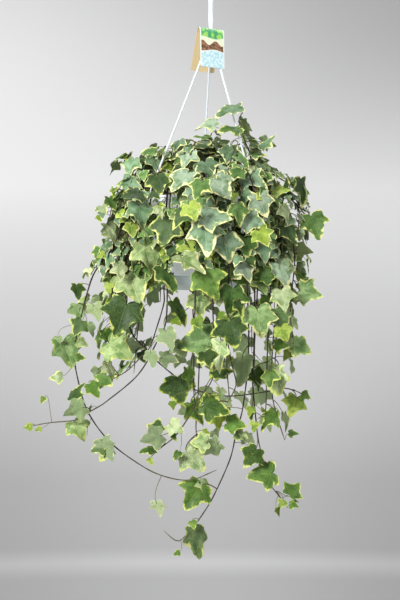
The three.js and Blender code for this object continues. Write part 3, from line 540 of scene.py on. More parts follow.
# Radius and height, up the inside, over the rim and down the outside
POT_PROFILE = [
    [3, -434], [55.9, -434], [59.4, -429], [84.4, -334], [84.4, -321.6], [84.4, -320], [93, -320],
    [93, -336], [91.4, -336], [91.4, -321.6], [86, -321.6], [61, -431], [57.5, -436], [46, -436],
    [45, -435.2], [3, -435.2],
]
pot = Surface().add(*turned(eased(POT_PROFILE, 0.8, 4), TURNED_SIDES, POT_X))
piece = make_piece("hanging_pot", pot, [white_plastic], ["pot"], 35)
holes = Surface()
for degrees in STRANDS.values():
    holes.add(*drill(around(degrees, STRAND_RING, 0), STRAND_HOLE, RIM_TOP - 3, RIM_TOP + 2))
for degrees in DRAINS:
    holes.add(*drill(around(degrees, DRAIN_RING, 0), DRAIN_RADIUS, POT_BASE - 2, POT_BASE + 4))
cut(piece, holes)

# %% [markdown]
# The saucer clips under the pot. It is a shallow tray with a foot and a boss in its middle, where the
# pot's floor rests, and its profile is turned in the same way. Its white is painted a little greyer
# than the pot's, as painted shade under the pot.

# %% Saucer
# Radius and height, from the middle of the underside out, up and back in to the boss
SAUCER_PROFILE = [
    [3, -456.9], [44, -456.9], [45, -458], [52, -458], [60, -452], [62, -438.6], [62, -438],
    [60.4, -438], [58.4, -451], [51, -456], [12, -456], [12, -436.3], [3, -436.3],
]
saucer = Surface().add(*turned(eased(SAUCER_PROFILE, 0.7, 4), TURNED_SIDES, POT_X))
make_piece("clip_saucer", saucer, [grey_plastic], ["saucer"], 35)

# %% [markdown]
# Potting soil is peat crumbs with grains of white perlite. The top is a round grid, and each of some
# hundreds of crumbs lifts it as a small dome, so the relief is real and not only painted. The perlite
# grains are separate lumps pressed into it.

# %% Soil
SOIL_TOP = -333.0
CRUMBS, GRAINS = 1100, 130
# The soil's underside and side, inside the pot: radius and height
BED = np.array([[3, -433.7], [53, -433.7], [58, -428], [81.6, -336], [80.6, -333]])
chance = np.random.default_rng(20571)


def crumbs(x, y, count, reach):
    """The height of a ground of domes: at each point, the highest of count random round crumbs."""
    out, turn = np.sqrt(chance.random(count)) * reach, chance.random(count) * 2 * np.pi
    radius = chance.uniform(1.5, 4.5, count)
    gap = (x[..., None] - out * np.cos(turn)) ** 2 + (y[..., None] - out * np.sin(turn)) ** 2
    return np.sqrt(np.maximum(radius**2 - gap, 0)).max(-1) * 0.8


def lumps(places, radii, sides=6, rows=4):
    """Small closed balls, each squashed a little: points (n, rows, sides, 3)."""
    up = np.linspace(-0.8, 0.8, rows)[None, :, None]
    angle = np.linspace(0, 2 * np.pi, sides, endpoint=False)[None, None]
    ring = np.sqrt(1 - up**2)
    squash = chance.uniform(0.7, 1.2, (3, len(places), 1, 1))
    ball = np.stack(np.broadcast_arrays(ring * np.cos(angle) * squash[0],
                                        ring * np.sin(angle) * squash[1], up * squash[2]), -1)
    return places[:, None, None] + ball * radii[:, None, None, None]


rings = np.linspace(79, 1.5, 44)
angle = np.linspace(0, 2 * np.pi, 132, endpoint=False)
radius = np.concatenate([BED[:, 0], rings])[:, None]
height = np.concatenate([BED[:, 1], np.full(len(rings), SOIL_TOP - 1.5)])[:, None]
x = radius * np.cos(angle)
y = radius * np.sin(angle)
z = np.broadcast_to(height, x.shape).copy()
z[len(BED):] += crumbs(x[len(BED):], y[len(BED):], CRUMBS, 80)
soil = Surface().add(*closed_rings(np.stack([x + POT_X, y, z], -1)))
reach, turn = np.sqrt(chance.random(GRAINS)) * 76, chance.random(GRAINS) * 2 * np.pi
grain_places = np.c_[POT_X + reach * np.cos(turn), reach * np.sin(turn),
                     np.full(GRAINS, SOIL_TOP + 1.2)]
for ball in lumps(grain_places, chance.uniform(0.8, 2.0, GRAINS)):
    soil.add(*closed_rings(ball), slot=1)

# %% Finishes of the soil
finish = Finish("peat", IOR=1.4)
place = finish.place()
coarse = finish.noise(place, 260, 4, 0.65)
fibre = finish.noise(finish.stretch(place, (900, 900, 2400)), 1, 3)
brown = finish.blend(finish.step(coarse, 0.35, 0.7), "2c2019", "5a4432")
brown = finish.blend(finish.step(fibre, 0.62, 0.75) * 0.6, brown, "7c6448")
peat = finish.wear(brown, 0.86 + coarse * 0.12, finish.bump(coarse + fibre * 0.5, 0.0012))
finish = Finish("perlite", IOR=1.45)
place = finish.place()
pits = finish.cells(place, 900)
pale = finish.blend(finish.noise(place, 300), "e9e6dd", "cfc8b8")
perlite = finish.wear(pale, 0.85 - pits * 0.1, finish.bump(pits, 0.0004))
make_piece("peat_soil", soil, [peat, perlite], ["soil"])

# %% [markdown]
# A folded card sits on the neck of the hook, which comes up through a small hole in the fold. It is
# printed outside and bare inside. It is one sheet that runs up the back half, over a round fold and
# down the front half, so each point can carry a note of how far along and how far across the sheet it
# lies, and the print is drawn from those two numbers.

# %% Care card
CARD_FOLD = -65.4
CARD_LINE = [[-23.5, -128], [-9.4, -84], [-7, -72], [-4, -67.4], [0, CARD_FOLD], [4, -67.4], [7, -72],
             [9.4, -84], [18.4, -127]]
CARD_WIDE = 39.0
CARD_THICK = 0.55
CARD_CORNER = 2.5
CARD_TILT, CARD_TURN = 4, 22
CARD_HOLE, HOLE_LOW, HOLE_HIGH = 2.7, -76, -62


def card_sheet():
    """The sheet's line is carried along X: the half width shrinks at both ends as a quarter circle,
    and the inner face lies a thickness inside the outer one. Notes: along and across, and the face."""
    line = eased(CARD_LINE, 3, 4)
    steps = np.r_[0, np.cumsum(np.linalg.norm(np.diff(line, axis=0), axis=1))]
    corner = np.array([0, 0.12, 0.35, 0.7, 1.0]) * CARD_CORNER
    along = np.unique(np.r_[corner, steps[(steps > CARD_CORNER) & (steps < steps[-1] - CARD_CORNER)],
                            np.linspace(4, steps[-1] - 4, 30), steps[-1] - corner])
    out, up = (np.interp(along, steps, side) for side in line.T)
    way = unit(np.gradient(np.c_[out, up], along, axis=0))
    near = np.minimum(along, steps[-1] - along)
    short = CARD_CORNER - np.minimum(near, CARD_CORNER)
    half = CARD_WIDE / 2 - (CARD_CORNER - np.sqrt(CARD_CORNER**2 - short**2))
    across = np.linspace(-1, 1, 9)
    bow = 0.25 * across**2 * np.sign(out)[:, None]
    faces, notes = [], []
    for side, inset in ((1, 0.0), (-1, CARD_THICK)):
        x = half[:, None] * across[::side]
        y = bow - (out[:, None] + way[:, 1:] * inset)
        z = (up - way[:, 0] * inset)[:, None] + 0 * x
        faces.append(np.stack([x, y, z], -1))
        notes.append(np.stack([along[:, None] + 0 * x, x, np.full_like(x, side)], -1))
    return np.concatenate(faces, 1), np.concatenate(notes, 1)


def turn_card(places):
    """Leant about Y at the fold, then turned about the upright."""
    a, b = np.radians([CARD_TILT, CARD_TURN])
    x, y, z = places[..., 0], places[..., 1], places[..., 2] - CARD_FOLD
    x, z = x * np.cos(a) + z * np.sin(a), z * np.cos(a) - x * np.sin(a)
    x, y = x * np.cos(b) - y * np.sin(b), x * np.sin(b) + y * np.cos(b)
    return np.stack([x, y, z + CARD_FOLD], -1)


# %% [markdown]
# The print is generic: leaves on a green band, a brown hill below it and pale blue water at the foot,
# with wavy borders. Each border is a smooth step at a distance along the sheet, which is about 125 long,
# and a sine of the distance across it makes the wave.

# %% Print of the card
LEAF_BAND, HILLS, WATER, MARGIN = (86.5, 88), (95, 96), (106.5, 108), (17.4, 17.9)


def printed_card():
    """A note holds how far along and across the sheet a point is, and 1 on the printed face."""
    finish = Finish("printed_card", IOR=1.5)
    along, across, face = finish.parts(finish.attribute("note", "Vector"))
    place = finish.place()
    spot = finish.vector(across * 0.14, along * 0.11)
    leaves = finish.cells(spot, 1.0, "SMOOTH_F1")
    shade = finish.noise(spot, 2, 3)
    green = finish.blend(finish.step(leaves, 0.25, 0.45), "8cc45c", "3f9160")
    brown = finish.blend(finish.step(shade, 0.4, 0.62), "94694a", "4f3c2c")
    blue = finish.blend(finish.step(shade, 0.42, 0.6), "9fc4cc", "c6d9dc")
    wave = (across * 0.16 + 1.0).sine() * 1.6
    front = finish.blend(finish.step(along - wave, *LEAF_BAND), green, "d3d6bc")
    hills = finish.step(along + (across * 0.3).sine() * 3.5, *HILLS)
    front = finish.blend(hills, front, brown)
    front = finish.blend(finish.step(along + wave, *WATER), front, blue)
    shore = finish.step((along + wave - WATER[1]).size(), 0.9, 0.5)
    front = finish.blend(shore, front, "d6d8d0")
    front = finish.blend(finish.step(across.size(), *MARGIN), front, "ced6d0")
    inside = finish.blend(finish.noise(place, 700, 3), "dcc9a0", "cbb384")
    printed = finish.step(face, 0.2, 0.8)
    colour = finish.blend(printed, inside, front)
    fibres = finish.noise(place, 2600, 2)
    return finish.wear(colour, 0.5 - printed * 0.18 + fibres * 0.06, finish.bump(fibres, 0.00005))


places, notes = card_sheet()
points, faces = closed_rings(turn_card(places))
notes = np.concatenate([notes.reshape(-1, 3), notes[[0, -1]].mean(1)])
card = Surface().add(points, faces, notes=notes)
piece = make_piece("folded_card", card, [printed_card()], ["care_card"], 60)
cut(piece, Surface().add(*drill(np.zeros(2), CARD_HOLE, HOLE_LOW, HOLE_HIGH)))

# %% [markdown]
# The stems come next. Ivy has two kinds here: trailers that pass over the rim and hang, and short
# shoots that fill the crown. Each was drawn as a few points where it is seen from the front,
# with a depth for each, and the points lie on the line of sight from the camera. A smooth curve runs
# through the points, first straight up out of the soil.

# %% Routes of the front stems
# Angle and radius of the root round the pot's axis, then points: across, depth and up
TRAILERS = {
    "stem_long_arc": [-169, 66, [
        [-148, -28, -395], [-172, -30, -428], [-184, -32, -458], [-199, -36, -518], [-205, -42, -551],
        [-199, -50, -593], [-184, -60, -641], [-151, -76, -686], [-106, -92, -720], [-71, -98, -737],
        [-31, -102, -743], [9, -104, -728],
    ]],
    "stem_left": [-159, 74, [
        [-146, -52, -398], [-148, -56, -446], [-145, -58, -480], [-139, -60, -518], [-130, -62, -551],
    ]],
    "stem_crossing_right": [-144, 66, [
        [-121, -66, -360], [-127, -68, -413], [-127, -66, -473], [-119, -60, -521], [-95, -52, -548],
        [-79, -48, -566], [-49, -46, -591], [-31, -46, -605], [21, -42, -617], [81, -34, -611],
        [108, -34, -605], [134, -34, -612], [147, -34, -623],
    ]],
    "stem_left_front": [-139, 74, [
        [-92, -72, -345], [-98, -78, -390], [-101, -80, -420], [-106, -80, -473], [-109, -80, -500],
    ]],
    "stem_crossing_left": [-123, 72, [
        [-67, -86, -345], [-68, -88, -398], [-70, -86, -458], [-70, -85, -477], [-82, -82, -518],
        [-92, -78, -545], [-106, -75, -560], [-124, -72, -578], [-146, -70, -591], [-166, -68, -599],
    ]],
    "stem_long_left": [-115.5, 64, [
        [-65, -108, -383], [-65, -110, -456], [-68, -108, -510], [-83, -104, -540], [-94, -101, -563],
        [-109, -98, -585], [-128, -95, -603], [-151, -92, -621], [-163, -90, -630], [-184, -88, -642],
        [-203, -86, -653], [-241, -84, -657], [-269, -82, -662],
    ]],
    "stem_middle_long": [-95, 72, [
        [-22, -106, -345], [-23, -112, -398], [-23, -114, -458], [-25, -114, -540], [-25, -114, -615],
        [-23, -113, -630], [-34, -110, -650], [-53, -106, -677], [-79, -102, -698], [-91, -100, -710],
    ]],
    "stem_middle": [-88, 62, [
        [-11, -99, -345], [-11, -100, -398], [-14, -98, -503], [-17, -97, -567], [-19, -96, -615],
        [-22, -94, -668], [-16, -92, -690], [-10, -92, -705],
    ]],
    "stem_middle_right": [-80, 74, [
        [9, -110, -345], [8, -124, -398], [3, -128, -464], [5, -130, -533], [5, -130, -578],
        [-1, -129, -599], [-16, -128, -620], [-26, -127, -641],
    ]],
    "stem_curtain": [-71, 64, [
        [26, -104, -345], [27, -114, -398], [27, -116, -458], [26, -116, -533], [32, -114, -570],
        [38, -112, -600], [26, -110, -626],
    ]],
    "stem_lowest": [-58, 74, [
        [48, -94, -345], [53, -99, -398], [54, -100, -435], [57, -100, -518], [56, -98, -570],
        [53, -96, -600], [47, -94, -641], [39, -92, -668], [33, -90, -698], [27, -88, -717],
        [14, -84, -747], [-1, -80, -777], [-16, -78, -800], [-26, -76, -813], [-46, -74, -834],
        [-58, -73, -830], [-70, -72, -819],
    ]],
    "stem_right_long": [-47, 66, [
        [65, -76, -345], [66, -84, -435], [66, -85, -488], [65, -85, -540], [63, -84, -600],
        [65, -83, -623], [71, -78, -680], [77, -75, -705], [83, -72, -728], [89, -70, -749],
        [101, -67, -765], [116, -64, -785],
    ]],
    "stem_right_front": [-33, 74, [
        [83, -62, -345], [89, -70, -398], [89, -74, -458], [86, -76, -525], [84, -78, -585],
        [83, -78, -630], [80, -78, -660],
    ]],
    "stem_right": [-22, 64, [
        [101, -46, -345], [105, -52, -398], [101, -56, -473], [93, -60, -540], [92, -60, -608],
        [98, -58, -642], [111, -56, -683],
    ]],
    "stem_right_side": [-14.5, 74, [
        [120, -32, -345], [125, -38, -398], [126, -40, -420], [122, -42, -458], [120, -42, -503],
        [126, -42, -540],
    ]],
    "stem_right_short": [-5, 66, [[129, -14, -330], [132, -16, -360], [129, -18, -398]]],
}
SHOOTS = {
    "shoot_left_high": [-139, 30, [
        [-41, -22, -308], [-44, -26, -281], [-34, -24, -255], [-22, -20, -237],
    ]],
    "shoot_top": [2, 53, [[51, 2, -308], [62, 4, -285], [59, 4, -255], [50, 4, -231], [42, 4, -206]]],
    "shoot_middle": [70, 9, [[-8, 10, -308], [-10, 14, -270], [-5, 16, -240], [5, 16, -215]]],
    "shoot_right_high": [-47, 49, [[23, -42, -308], [26, -52, -281], [33, -54, -255], [41, -54, -236]]],
    "shoot_left": [-164, 59, [[-88, -22, -308], [-97, -26, -284], [-112, -28, -266], [-127, -30, -257]]],
    "shoot_left_low": [-147, 54, [
        [-76, -48, -283], [-106, -50, -294], [-130, -50, -307], [-146, -52, -327], [-152, -52, -352],
    ]],
    "shoot_right": [-7, 46, [
        [50, -10, -284], [77, -16, -278], [101, -22, -289], [125, -26, -306], [137, -28, -326],
    ]],
    "shoot_front": [-84, 44, [
        [-7, -66, -283], [-7, -98, -292], [-7, -114, -320], [-7, -124, -355], [-7, -127, -388],
    ]],
    "shoot_front_left": [-122, 44, [
        [-47, -62, -279], [-49, -94, -292], [-50, -108, -325], [-52, -112, -372],
    ]],
    "shoot_front_right": [-42, 57, [
        [45, -60, -277], [60, -84, -291], [70, -97, -335], [75, -104, -378],
    ]],
    "shoot_left_front": [-134, 52, [
        [-72, -50, -282], [-92, -70, -293], [-105, -88, -326], [-108, -94, -362],
    ]],
}
ROOT_DEPTH = 11.0
RIM_RADIUS = 93.0
# From one leaf to the next along a stem
TRAILER_STEP, SHOOT_STEP, BACK_STEP = 31, 26, 36
FINE = 201


def in_sight(across, depth, up):
    """The place at a depth that is seen at across and up on the upright plane through the hook."""
    k = 1 - depth / EYE[1]
    x = EYE[0] + (across - EYE[0]) * k
    z = EYE[2] + (up - EYE[2]) * k
    return np.stack(np.broadcast_arrays(x, depth, z), -1).astype(float)


def seen_at(places):
    """Where places are seen on that plane: across and up."""
    k = 1 - places[..., 1] / EYE[1]
    return EYE[0] + (places[..., 0] - EYE[0]) / k, EYE[2] + (places[..., 2] - EYE[2]) / k


class Stem:
    """A curve through points. Between two points it is a cubic whose slope at each point is half the
    step from the point before to the point after; the ends are carried on straight."""

    def __init__(self, name, points, step):
        line = np.array(points, float)
        self.name = name
        self.knots = np.concatenate([2 * line[:1] - line[1:2], line, 2 * line[-1:] - line[-2:-1]])
        fine = self.at(np.linspace(0, 1, FINE))
        self.lengths = np.r_[0, np.cumsum(np.linalg.norm(np.diff(fine, axis=0), axis=1))]
        self.length = self.lengths[-1]
        steps = max(4, int(self.length / step + 0.5))
        self.rings = self.spaced(steps + 1)
        self.leaves = []

    def at(self, t):
        """The places at shares t of the way from the first point to the last."""
        count = len(self.knots) - 3
        place = np.clip(t, 0, 1) * count
        i = np.minimum(place.astype(int), count - 1)
        w = (place - i)[:, None]
        p0, p1, p2, p3 = (self.knots[i + k] for k in range(4))
        v0, v1 = (p2 - p0) / 2, (p3 - p1) / 2
        square, cube = w**2, w**3
        return ((2 * p1 - 2 * p2 + v0 + v1) * cube + (3 * p2 - 3 * p1 - 2 * v0 - v1) * square
                + v0 * w + p1)

    def spaced(self, count):
        """Points at even lengths along it."""
        wanted = np.linspace(0, self.length, count)
        return self.at(np.interp(wanted, self.lengths, np.linspace(0, 1, FINE)))


def upright(degrees, radius):
    """The first points of a stem, straight up out of the soil."""
    root = around(degrees, radius, 0)[:2]
    return [[*root, SOIL_TOP + up] for up in (-ROOT_DEPTH, 1, 10, 20)]


def over_rim(degrees, radius, beyond):
    """Over the rim's crest and down outside it, towards the first point beyond."""
    out = np.hypot(beyond[0] - POT_X, beyond[1])
    over = min(out - 6, RIM_RADIUS + 11) / out
    return [around(degrees, (radius + RIM_RADIUS) / 2, RIM_TOP + 25),
            [POT_X + over * (beyond[0] - POT_X), over * beyond[1], RIM_TOP + 12]]


def front_stems():
    for name, (degrees, radius, route) in TRAILERS.items():
        points = [in_sight(*place) for place in route]
        start = upright(degrees, radius) + over_rim(degrees, radius, points[0])
        yield Stem(name, start + points, TRAILER_STEP)
    for name, (degrees, radius, route) in SHOOTS.items():
        points = [in_sight(*place) for place in route]
        yield Stem(name, upright(degrees, radius) + points, SHOOT_STEP)


front = list(front_stems())
print("front stems:", len(front), "length in all, m:", round(sum(s.length for s in front) * MM, 2))

# %% [markdown]
# The photograph doesn't show the back, so its stems follow a rule: twelve trailers fan out over the far
# rim and hang to different depths, and six shoots arch outwards over the soil. A small row of draws
# sways them, always the same ones.

# %% Stems of the back
SEED, DRAW_STEP, DRAW_RANGE = 20571, 48271, 2147483647
BACK_SHOOTS = 6
# How far each trailer hangs below the rim
BACK_DROPS = [250, 174, 300, 210, 330, 150, 280, 120, 130, 110, 240, 220]


def draws():
    """Numbers between 0 and 1: each state is the one before times a step, within a range."""
    state = SEED
    while True:
        state = state * DRAW_STEP % DRAW_RANGE
        yield state / DRAW_RANGE


row = draws()


def draw():
    return next(row)


def back_trailer(i):
    """Fanned out from the right to the left, swayed by draws, in two layers by turns."""
    degrees = 8 + 164 * i / (len(BACK_DROPS) - 1)
    drop = BACK_DROPS[i]
    levels = int(drop / 48 + 0.5)
    route = []
    for k in range(levels + 1):
        share = k / levels
        angle = degrees + 6 * (draw() - 0.5) * share
        radius = (108, 132)[i % 2] + 8 * np.sin(3 * share + i)
        route.append(around(angle, radius, RIM_TOP - 25 - drop * share))
    radius = (74, 62)[i % 2]
    start = upright(degrees, radius) + over_rim(degrees, radius, route[0])
    return Stem(f"stem_back_{i + 1}", start + route, BACK_STEP)


def back_shoot(i):
    """An arch outwards over the soil, low and wide or high and narrow by turns."""
    degrees = 20 + 140 * i / (BACK_SHOOTS - 1)
    radius, rise, reach = ((30, 96, 70), (46, 62, 112))[i % 2]
    parts = ((0.15, 0.5), (0.45, 0.9), (0.8, 1.0), (1.0, 0.88))
    route = [around(degrees, radius + out * (reach - radius), SOIL_TOP + up * rise)
             for out, up in parts]
    return Stem(f"shoot_back_{i + 1}", upright(degrees, radius) + route, SHOOT_STEP)


back = [back_trailer(i) for i in range(len(BACK_DROPS))] + [back_shoot(i) for i in range(BACK_SHOOTS)]
stems = front + back
print("back stems:", len(back), "longest, mm:", round(max(s.length for s in back)))

# %% [markdown]
# The leaves that the photograph shows were listed one by one: where the blade's middle is seen,
# its length, the way its tip points from straight down, how far it is turned from the viewer, and which
# of four looks it has. 0 is a grey-green leaf, 1 a deep green one, 2 a young lime one and 3 a pale one.

# %% Leaves of the front
# Across, up, length, tip, turn and look
LEAVES = [
    # Crown, left to right
    [-120, -274, 34, -10, 15, 0], [-129, -259, 17, -80, 20, 2], [-84, -265, 34, 10, 40, 0],
    [-67, -271, 22, -60, 30, 2], [-36, -260, 34, -15, -20, 0], [-12, -229, 32, -98, 74, 1],
    [-12, -241, 32, -93, -76, 1], [-148, -328, 27, 10, 45, 1], [-117, -314, 38, -50, 140, 1],
    [-118, -299, 34, 60, -35, 0], [-105, -346, 46, 8, 10, 0], [-148, -373, 38, 20, 25, 3],
    [-118, -368, 25, 0, 20, 2], [-45, -293, 50, -28, -10, 0], [-18, -307, 36, -15, 20, 1],
    [-28, -340, 29, 25, 0, 2], [-6, -211, 34, -65, 55, 0], [26, -194, 40, -70, 60, 0],
    [28, -220, 38, -50, 45, 1], [28, -248, 46, -5, -10, 0], [8, -253, 24, 0, 30, 1],
    [-3, -275, 35, 20, 15, 0], [49, -265, 31, 20, -35, 1], [71, -254, 30, 62, 55, 1],
    [86, -236, 28, 138, 40, 0], [65, -293, 42, 55, -15, 0], [16, -304, 50, 30, 15, 0],
    [77, -331, 40, 20, -10, 0], [113, -296, 22, 178, 35, 1], [103, -308, 36, 80, -58, 2],
    [139, -310, 46, 6, 122, 1], [157, -362, 44, 18, -15, 1], [65, -355, 38, 65, 15, 0],
    [8, -350, 48, 78, -40, 0], [-7, -379, 54, 5, 5, 0], [23, -395, 46, 10, -12, 0],
    [112, -344, 37, 10, 25, 3], [-37, -395, 31, -80, 20, 2], [-27, -419, 46, 50, -35, 3],
    [139, -398, 31, 82, 150, 2], [-67, -371, 46, -15, 15, 1], [-45, -349, 42, -35, -20, 1],
    [-76, -341, 36, 25, 10, 3], [-78, -299, 34, 10, -30, 1], [43, -344, 36, 10, 25, 1],
    [79, -379, 32, 30, -10, 2], [119, -374, 40, 25, 40, 1], [56, -317, 32, 85, 30, 0],
    [80, -400, 34, 10, 15, 0], [37, -286, 30, -30, -25, 1],
    # Left side
    [-199, -460, 27, 0, 35, 1], [-198, -490, 29, 12, -10, 0], [-172, -491, 31, 10, 160, 3],
    [-199, -514, 30, -30, 15, 1], [-214, -551, 50, 15, -10, 0], [-229, -535, 19, 0, 165, 1],
    [-192, -538, 22, 60, 30, 3], [-195, -559, 17, 80, 20, 1], [-232, -589, 23, -78, 25, 3],
    [-201, -610, 36, 172, 62, 1], [-204, -638, 38, -65, 155, 1], [-198, -668, 36, 28, 10, 3],
    [-133, -500, 60, -18, 0, 1], [-138, -547, 46, 55, 10, 3], [-171, -583, 22, -10, 160, 1],
    [-162, -596, 30, -30, -20, 1], [-175, -608, 28, 35, 25, 1], [-151, -580, 32, 0, 62, 3],
    [-114, -541, 38, 82, 130, 1], [-88, -562, 33, 5, 165, 1], [-63, -560, 31, 80, 140, 1],
    [-115, -454, 50, 18, -12, 3], [-135, -430, 32, 10, 30, 3], [-93, -410, 50, 8, 8, 3],
    [-156, -697, 46, 25, 170, 1], [-78, -785, 25, 10, 150, 3], [-153, -455, 19, -5, 20, 2],
    [-148, -478, 19, 10, -20, 2], [-180, -517, 26, 5, 125, 1],
    # Curtain in the middle and right
    [20, -437, 44, -12, 8, 1], [-3, -449, 50, 28, -8, 1], [31, -472, 44, -8, 12, 1],
    [-18, -482, 38, 8, -10, 0], [-19, -508, 23, 25, 10, 2], [19, -500, 22, 70, 20, 2],
    [31, -523, 45, 10, -8, 1], [73, -505, 47, 8, 5, 0], [104, -503, 40, 20, 30, 0],
    [-22, -535, 58, -78, 15, 0], [-4, -562, 29, 20, -20, 1], [13, -557, 50, 4, 60, 3],
    [19, -581, 36, 128, 66, 1], [47, -578, 50, -12, 160, 1], [70, -592, 38, 10, 40, 1],
    [109, -472, 38, 12, 10, 3], [149, -463, 40, 72, -5, 0], [109, -434, 45, 15, -15, 0],
    [136, -544, 34, 62, 15, 0], [115, -556, 22, -30, 25, 2], [89, -592, 32, 0, -30, 1],
    [-64, -439, 46, 18, 55, 1], [-46, -491, 42, 28, 64, 1], [-63, -532, 36, 12, 158, 1],
    [-48, -547, 29, 30, 150, 1], [53, -394, 36, 0, 25, 1], [77, -437, 35, -68, 30, 1],
    [53, -431, 34, 15, 40, 0], [106, -541, 27, 80, 40, 1], [110, -523, 27, 25, 15, 2],
    [100, -593, 46, 4, 62, 3], [-33, -589, 33, 2, 60, 1], [86, -476, 30, 10, 45, 1],
    [44, -485, 28, 20, 50, 1],
    # Below
    [-48, -608, 46, 8, 5, 1], [-21, -643, 42, 22, 40, 1], [8, -635, 46, 72, -15, 1],
    [11, -655, 25, 10, 15, 2], [38, -659, 34, 82, -30, 1], [46, -676, 23, 65, 20, 3],
    [-1, -695, 36, -55, 150, 1], [-25, -713, 44, 42, 10, 3], [-16, -686, 29, -85, -20, 3],
    [-51, -706, 17, -20, 30, 1], [-25, -767, 48, -35, 5, 1], [-21, -836, 50, 5, -8, 0],
    [61, -709, 38, -35, 12, 1], [77, -734, 44, -75, -40, 1], [125, -757, 31, 140, -10, 1],
    [106, -779, 17, -30, 20, 2], [125, -781, 17, 75, 30, 1], [-88, -679, 37, -72, 155, 1],
    [-81, -661, 27, 172, 15, 1], [-94, -698, 28, -85, 66, 1], [86, -653, 40, -30, 45, 1],
    [124, -632, 37, -18, 10, 2], [143, -617, 19, 62, 20, 1], [124, -673, 17, 88, 40, 1],
    [113, -655, 32, 2, 66, 3], [-52, -664, 27, 60, 10, 3],
]
# Small ones at the ends of stems, and those that stand too close to others to be solids of their own
EXTRA_LEAVES = [
    [-51, -853, 12, -60, 20, 1], [59, -640, 17, -10, 20, 2], [-57, -631, 15, 0, 20, 2],
    [-252, -623, 13, -20, 20, 2], [-274, -664, 15, -84, 30, 2], [-259, -667, 12, -70, 30, 2],
    [-90, -715, 13, 30, 30, 2], [-80, -294, 24, 12, 20, 1], [-67, -302, 22, -30, 25, 0],
    [-58, -288, 20, 20, -20, 2], [-93, -302, 20, -10, 20, 1], [-53, -303, 24, 5, -15, 1],
]
print("listed leaves:", len(LEAVES), "and small ones:", len(EXTRA_LEAVES))

# %% [markdown]
# The solids keep clear of each other, and real leaves overlap. Some of the listed leaves are therefore
# shown a little longer or shorter, turned, leant or brought nearer. A leaf's place is what it is looked
# up by. Leaves in deep shade get painted shade, a darker green, and a few that catch the light get a
# painted highlight, a lighter green.

# %% Leaves shown another way than their solids
# Place: length's share, turn, lean, how far nearer to the camera, and how much painted shade darkens
# its green (below 0 a painted highlight lightens it)
SHOWN_AS = {
    (-7, -379): (1, 5, 14, 62, -0.1), (16, -304): (1, 15, 30, 0, 0.25), (8, -350): (1, 40, 15, 0, 0.2),
    (-3, -275): (1, 15, 35, 0, 0.2), (43, -344): (1, 25, 15, 0, 0.15), (77, -331): (1, 10, 15, 0, 0.15),
    (-45, -293): (0.9, -42, 25, 0, -0.05), (28, -248): (0.76, -12, 35, 14, 0.1),
    (26, -194): (1.1, -62, 10, 0, -0.1), (-6, -211): (1.2, -58, 10, 0, -0.1),
    (86, -236): (1.15, 60, 5, 0, 0), (-84, -265): (1, 40, 25, 0, -0.5),
    (-36, -260): (1, -20, 25, 0, -0.35), (-118, -299): (1, 35, 20, 0, -0.5),
    (-117, -314): (1, -25, 55, 6, 0.5), (-76, -341): (0.6, 50, 15, 0, -0.4),
    (-120, -274): (1, -35, 20, 0, -0.5), (65, -293): (1, 20, 30, 16, 0), (56, -317): (1, 30, 30, 12, 0),
    (103, -308): (1, 50, 25, 14, 0), (139, -310): (1, 62, 10, 0, 0), (112, -344): (1, 58, 10, 6, -0.2),
    (-37, -395): (1, -20, 15, 26, 0), (-67, -371): (0.95, -15, 15, 0, 0.65),
    (-45, -349): (0.95, -35, 15, 0, 0.55), (-78, -299): (1, 10, 20, 0, 0.6),
    (-105, -346): (1, 20, 15, 6, -0.5), (-148, -373): (1, 50, 10, 6, -0.3),
    (-27, -419): (1, 52, 10, 8, -0.2), (-93, -410): (1, 30, 15, 4, -0.25),
    (-135, -430): (0.9, 40, 10, 4, -0.3), (109, -434): (1, 30, 12, 8, -0.3),
    (-21, -836): (1, 50, 12, 0, 0.3), (-25, -767): (1, 5, 14, 0, 0.35), (61, -709): (1, 12, 12, 0, 0.2),
    (77, -734): (1, -30, 20, 0, 0.3), (-12, -229): (1, -76, 5, 0, 0.1),
    (-12, -241): (1, -78, 5, 0, 0.2), (113, -296): (0.9, 55, 5, 0, 0.4),
    (65, -355): (1, 25, 15, 0, 0.1), (-133, -500): (1, 0, 12, 0, 0.5),
    (-214, -551): (1, 42, 12, 0, -0.2), (-138, -547): (1, 10, 10, 0, -0.6),
    (-63, -532): (1, 140, 10, 0, 0.5), (-88, -562): (0.85, 150, 10, 0, 0.35),
    (-198, -668): (1, 20, 10, 0, -0.5), (-48, -608): (1, 5, 12, 0, 0.45),
    (-199, -514): (1, -15, 10, 0, 0.5), (31, -472): (1, 10, 15, 22, -0.3),
    (-3, -449): (1, 8, 12, 0, 0.25), (-18, -482): (1, 10, 12, 16, -0.1),
    (31, -523): (1, 8, 14, 0, 0.25), (-4, -562): (1, 20, 14, 0, 0.6), (13, -557): (1, -60, 10, 8, -0.5),
    (47, -578): (1, 122, 10, 0, 0), (70, -592): (1, 40, 10, 12, 0.4),
    (89, -592): (0.9, -30, 12, 0, 0.5), (100, -593): (1, -62, 10, 10, -0.3),
    (149, -463): (1, 5, 12, 0, 0.2), (-156, -697): (0.85, 150, 10, 0, 0.3),
    (136, -544): (1, 12, 12, 6, -0.4), (-21, -643): (1, 50, 12, 12, 0),
    (86, -653): (1, -58, 12, 0, 0.4), (115, -556): (1, -25, 12, 0, 0.5),
}
# One that hangs from a stem other than the nearest: the place where it starts
HANGS_FROM = {(-78, -785): (-74, -98, -737)}
# Strand, lowest and highest place where it applies, and 1 for behind the strand, -1 for in front
CROSSINGS = [("left", -294, -84, 1), ("right", -270, -226, 1), ("right", -226, -180, -1)]
print("leaves shown another way:", len(SHOWN_AS))

# %% [markdown]
# A leaf is a set of facts: where its petiole starts, where its blade is joined, how long it is, the
# three directions of the blade, and how it is bent. The solid's leaf had to keep clear of the others by
# steps to the front or back, so its step is found again by looking for its tip in the solid.

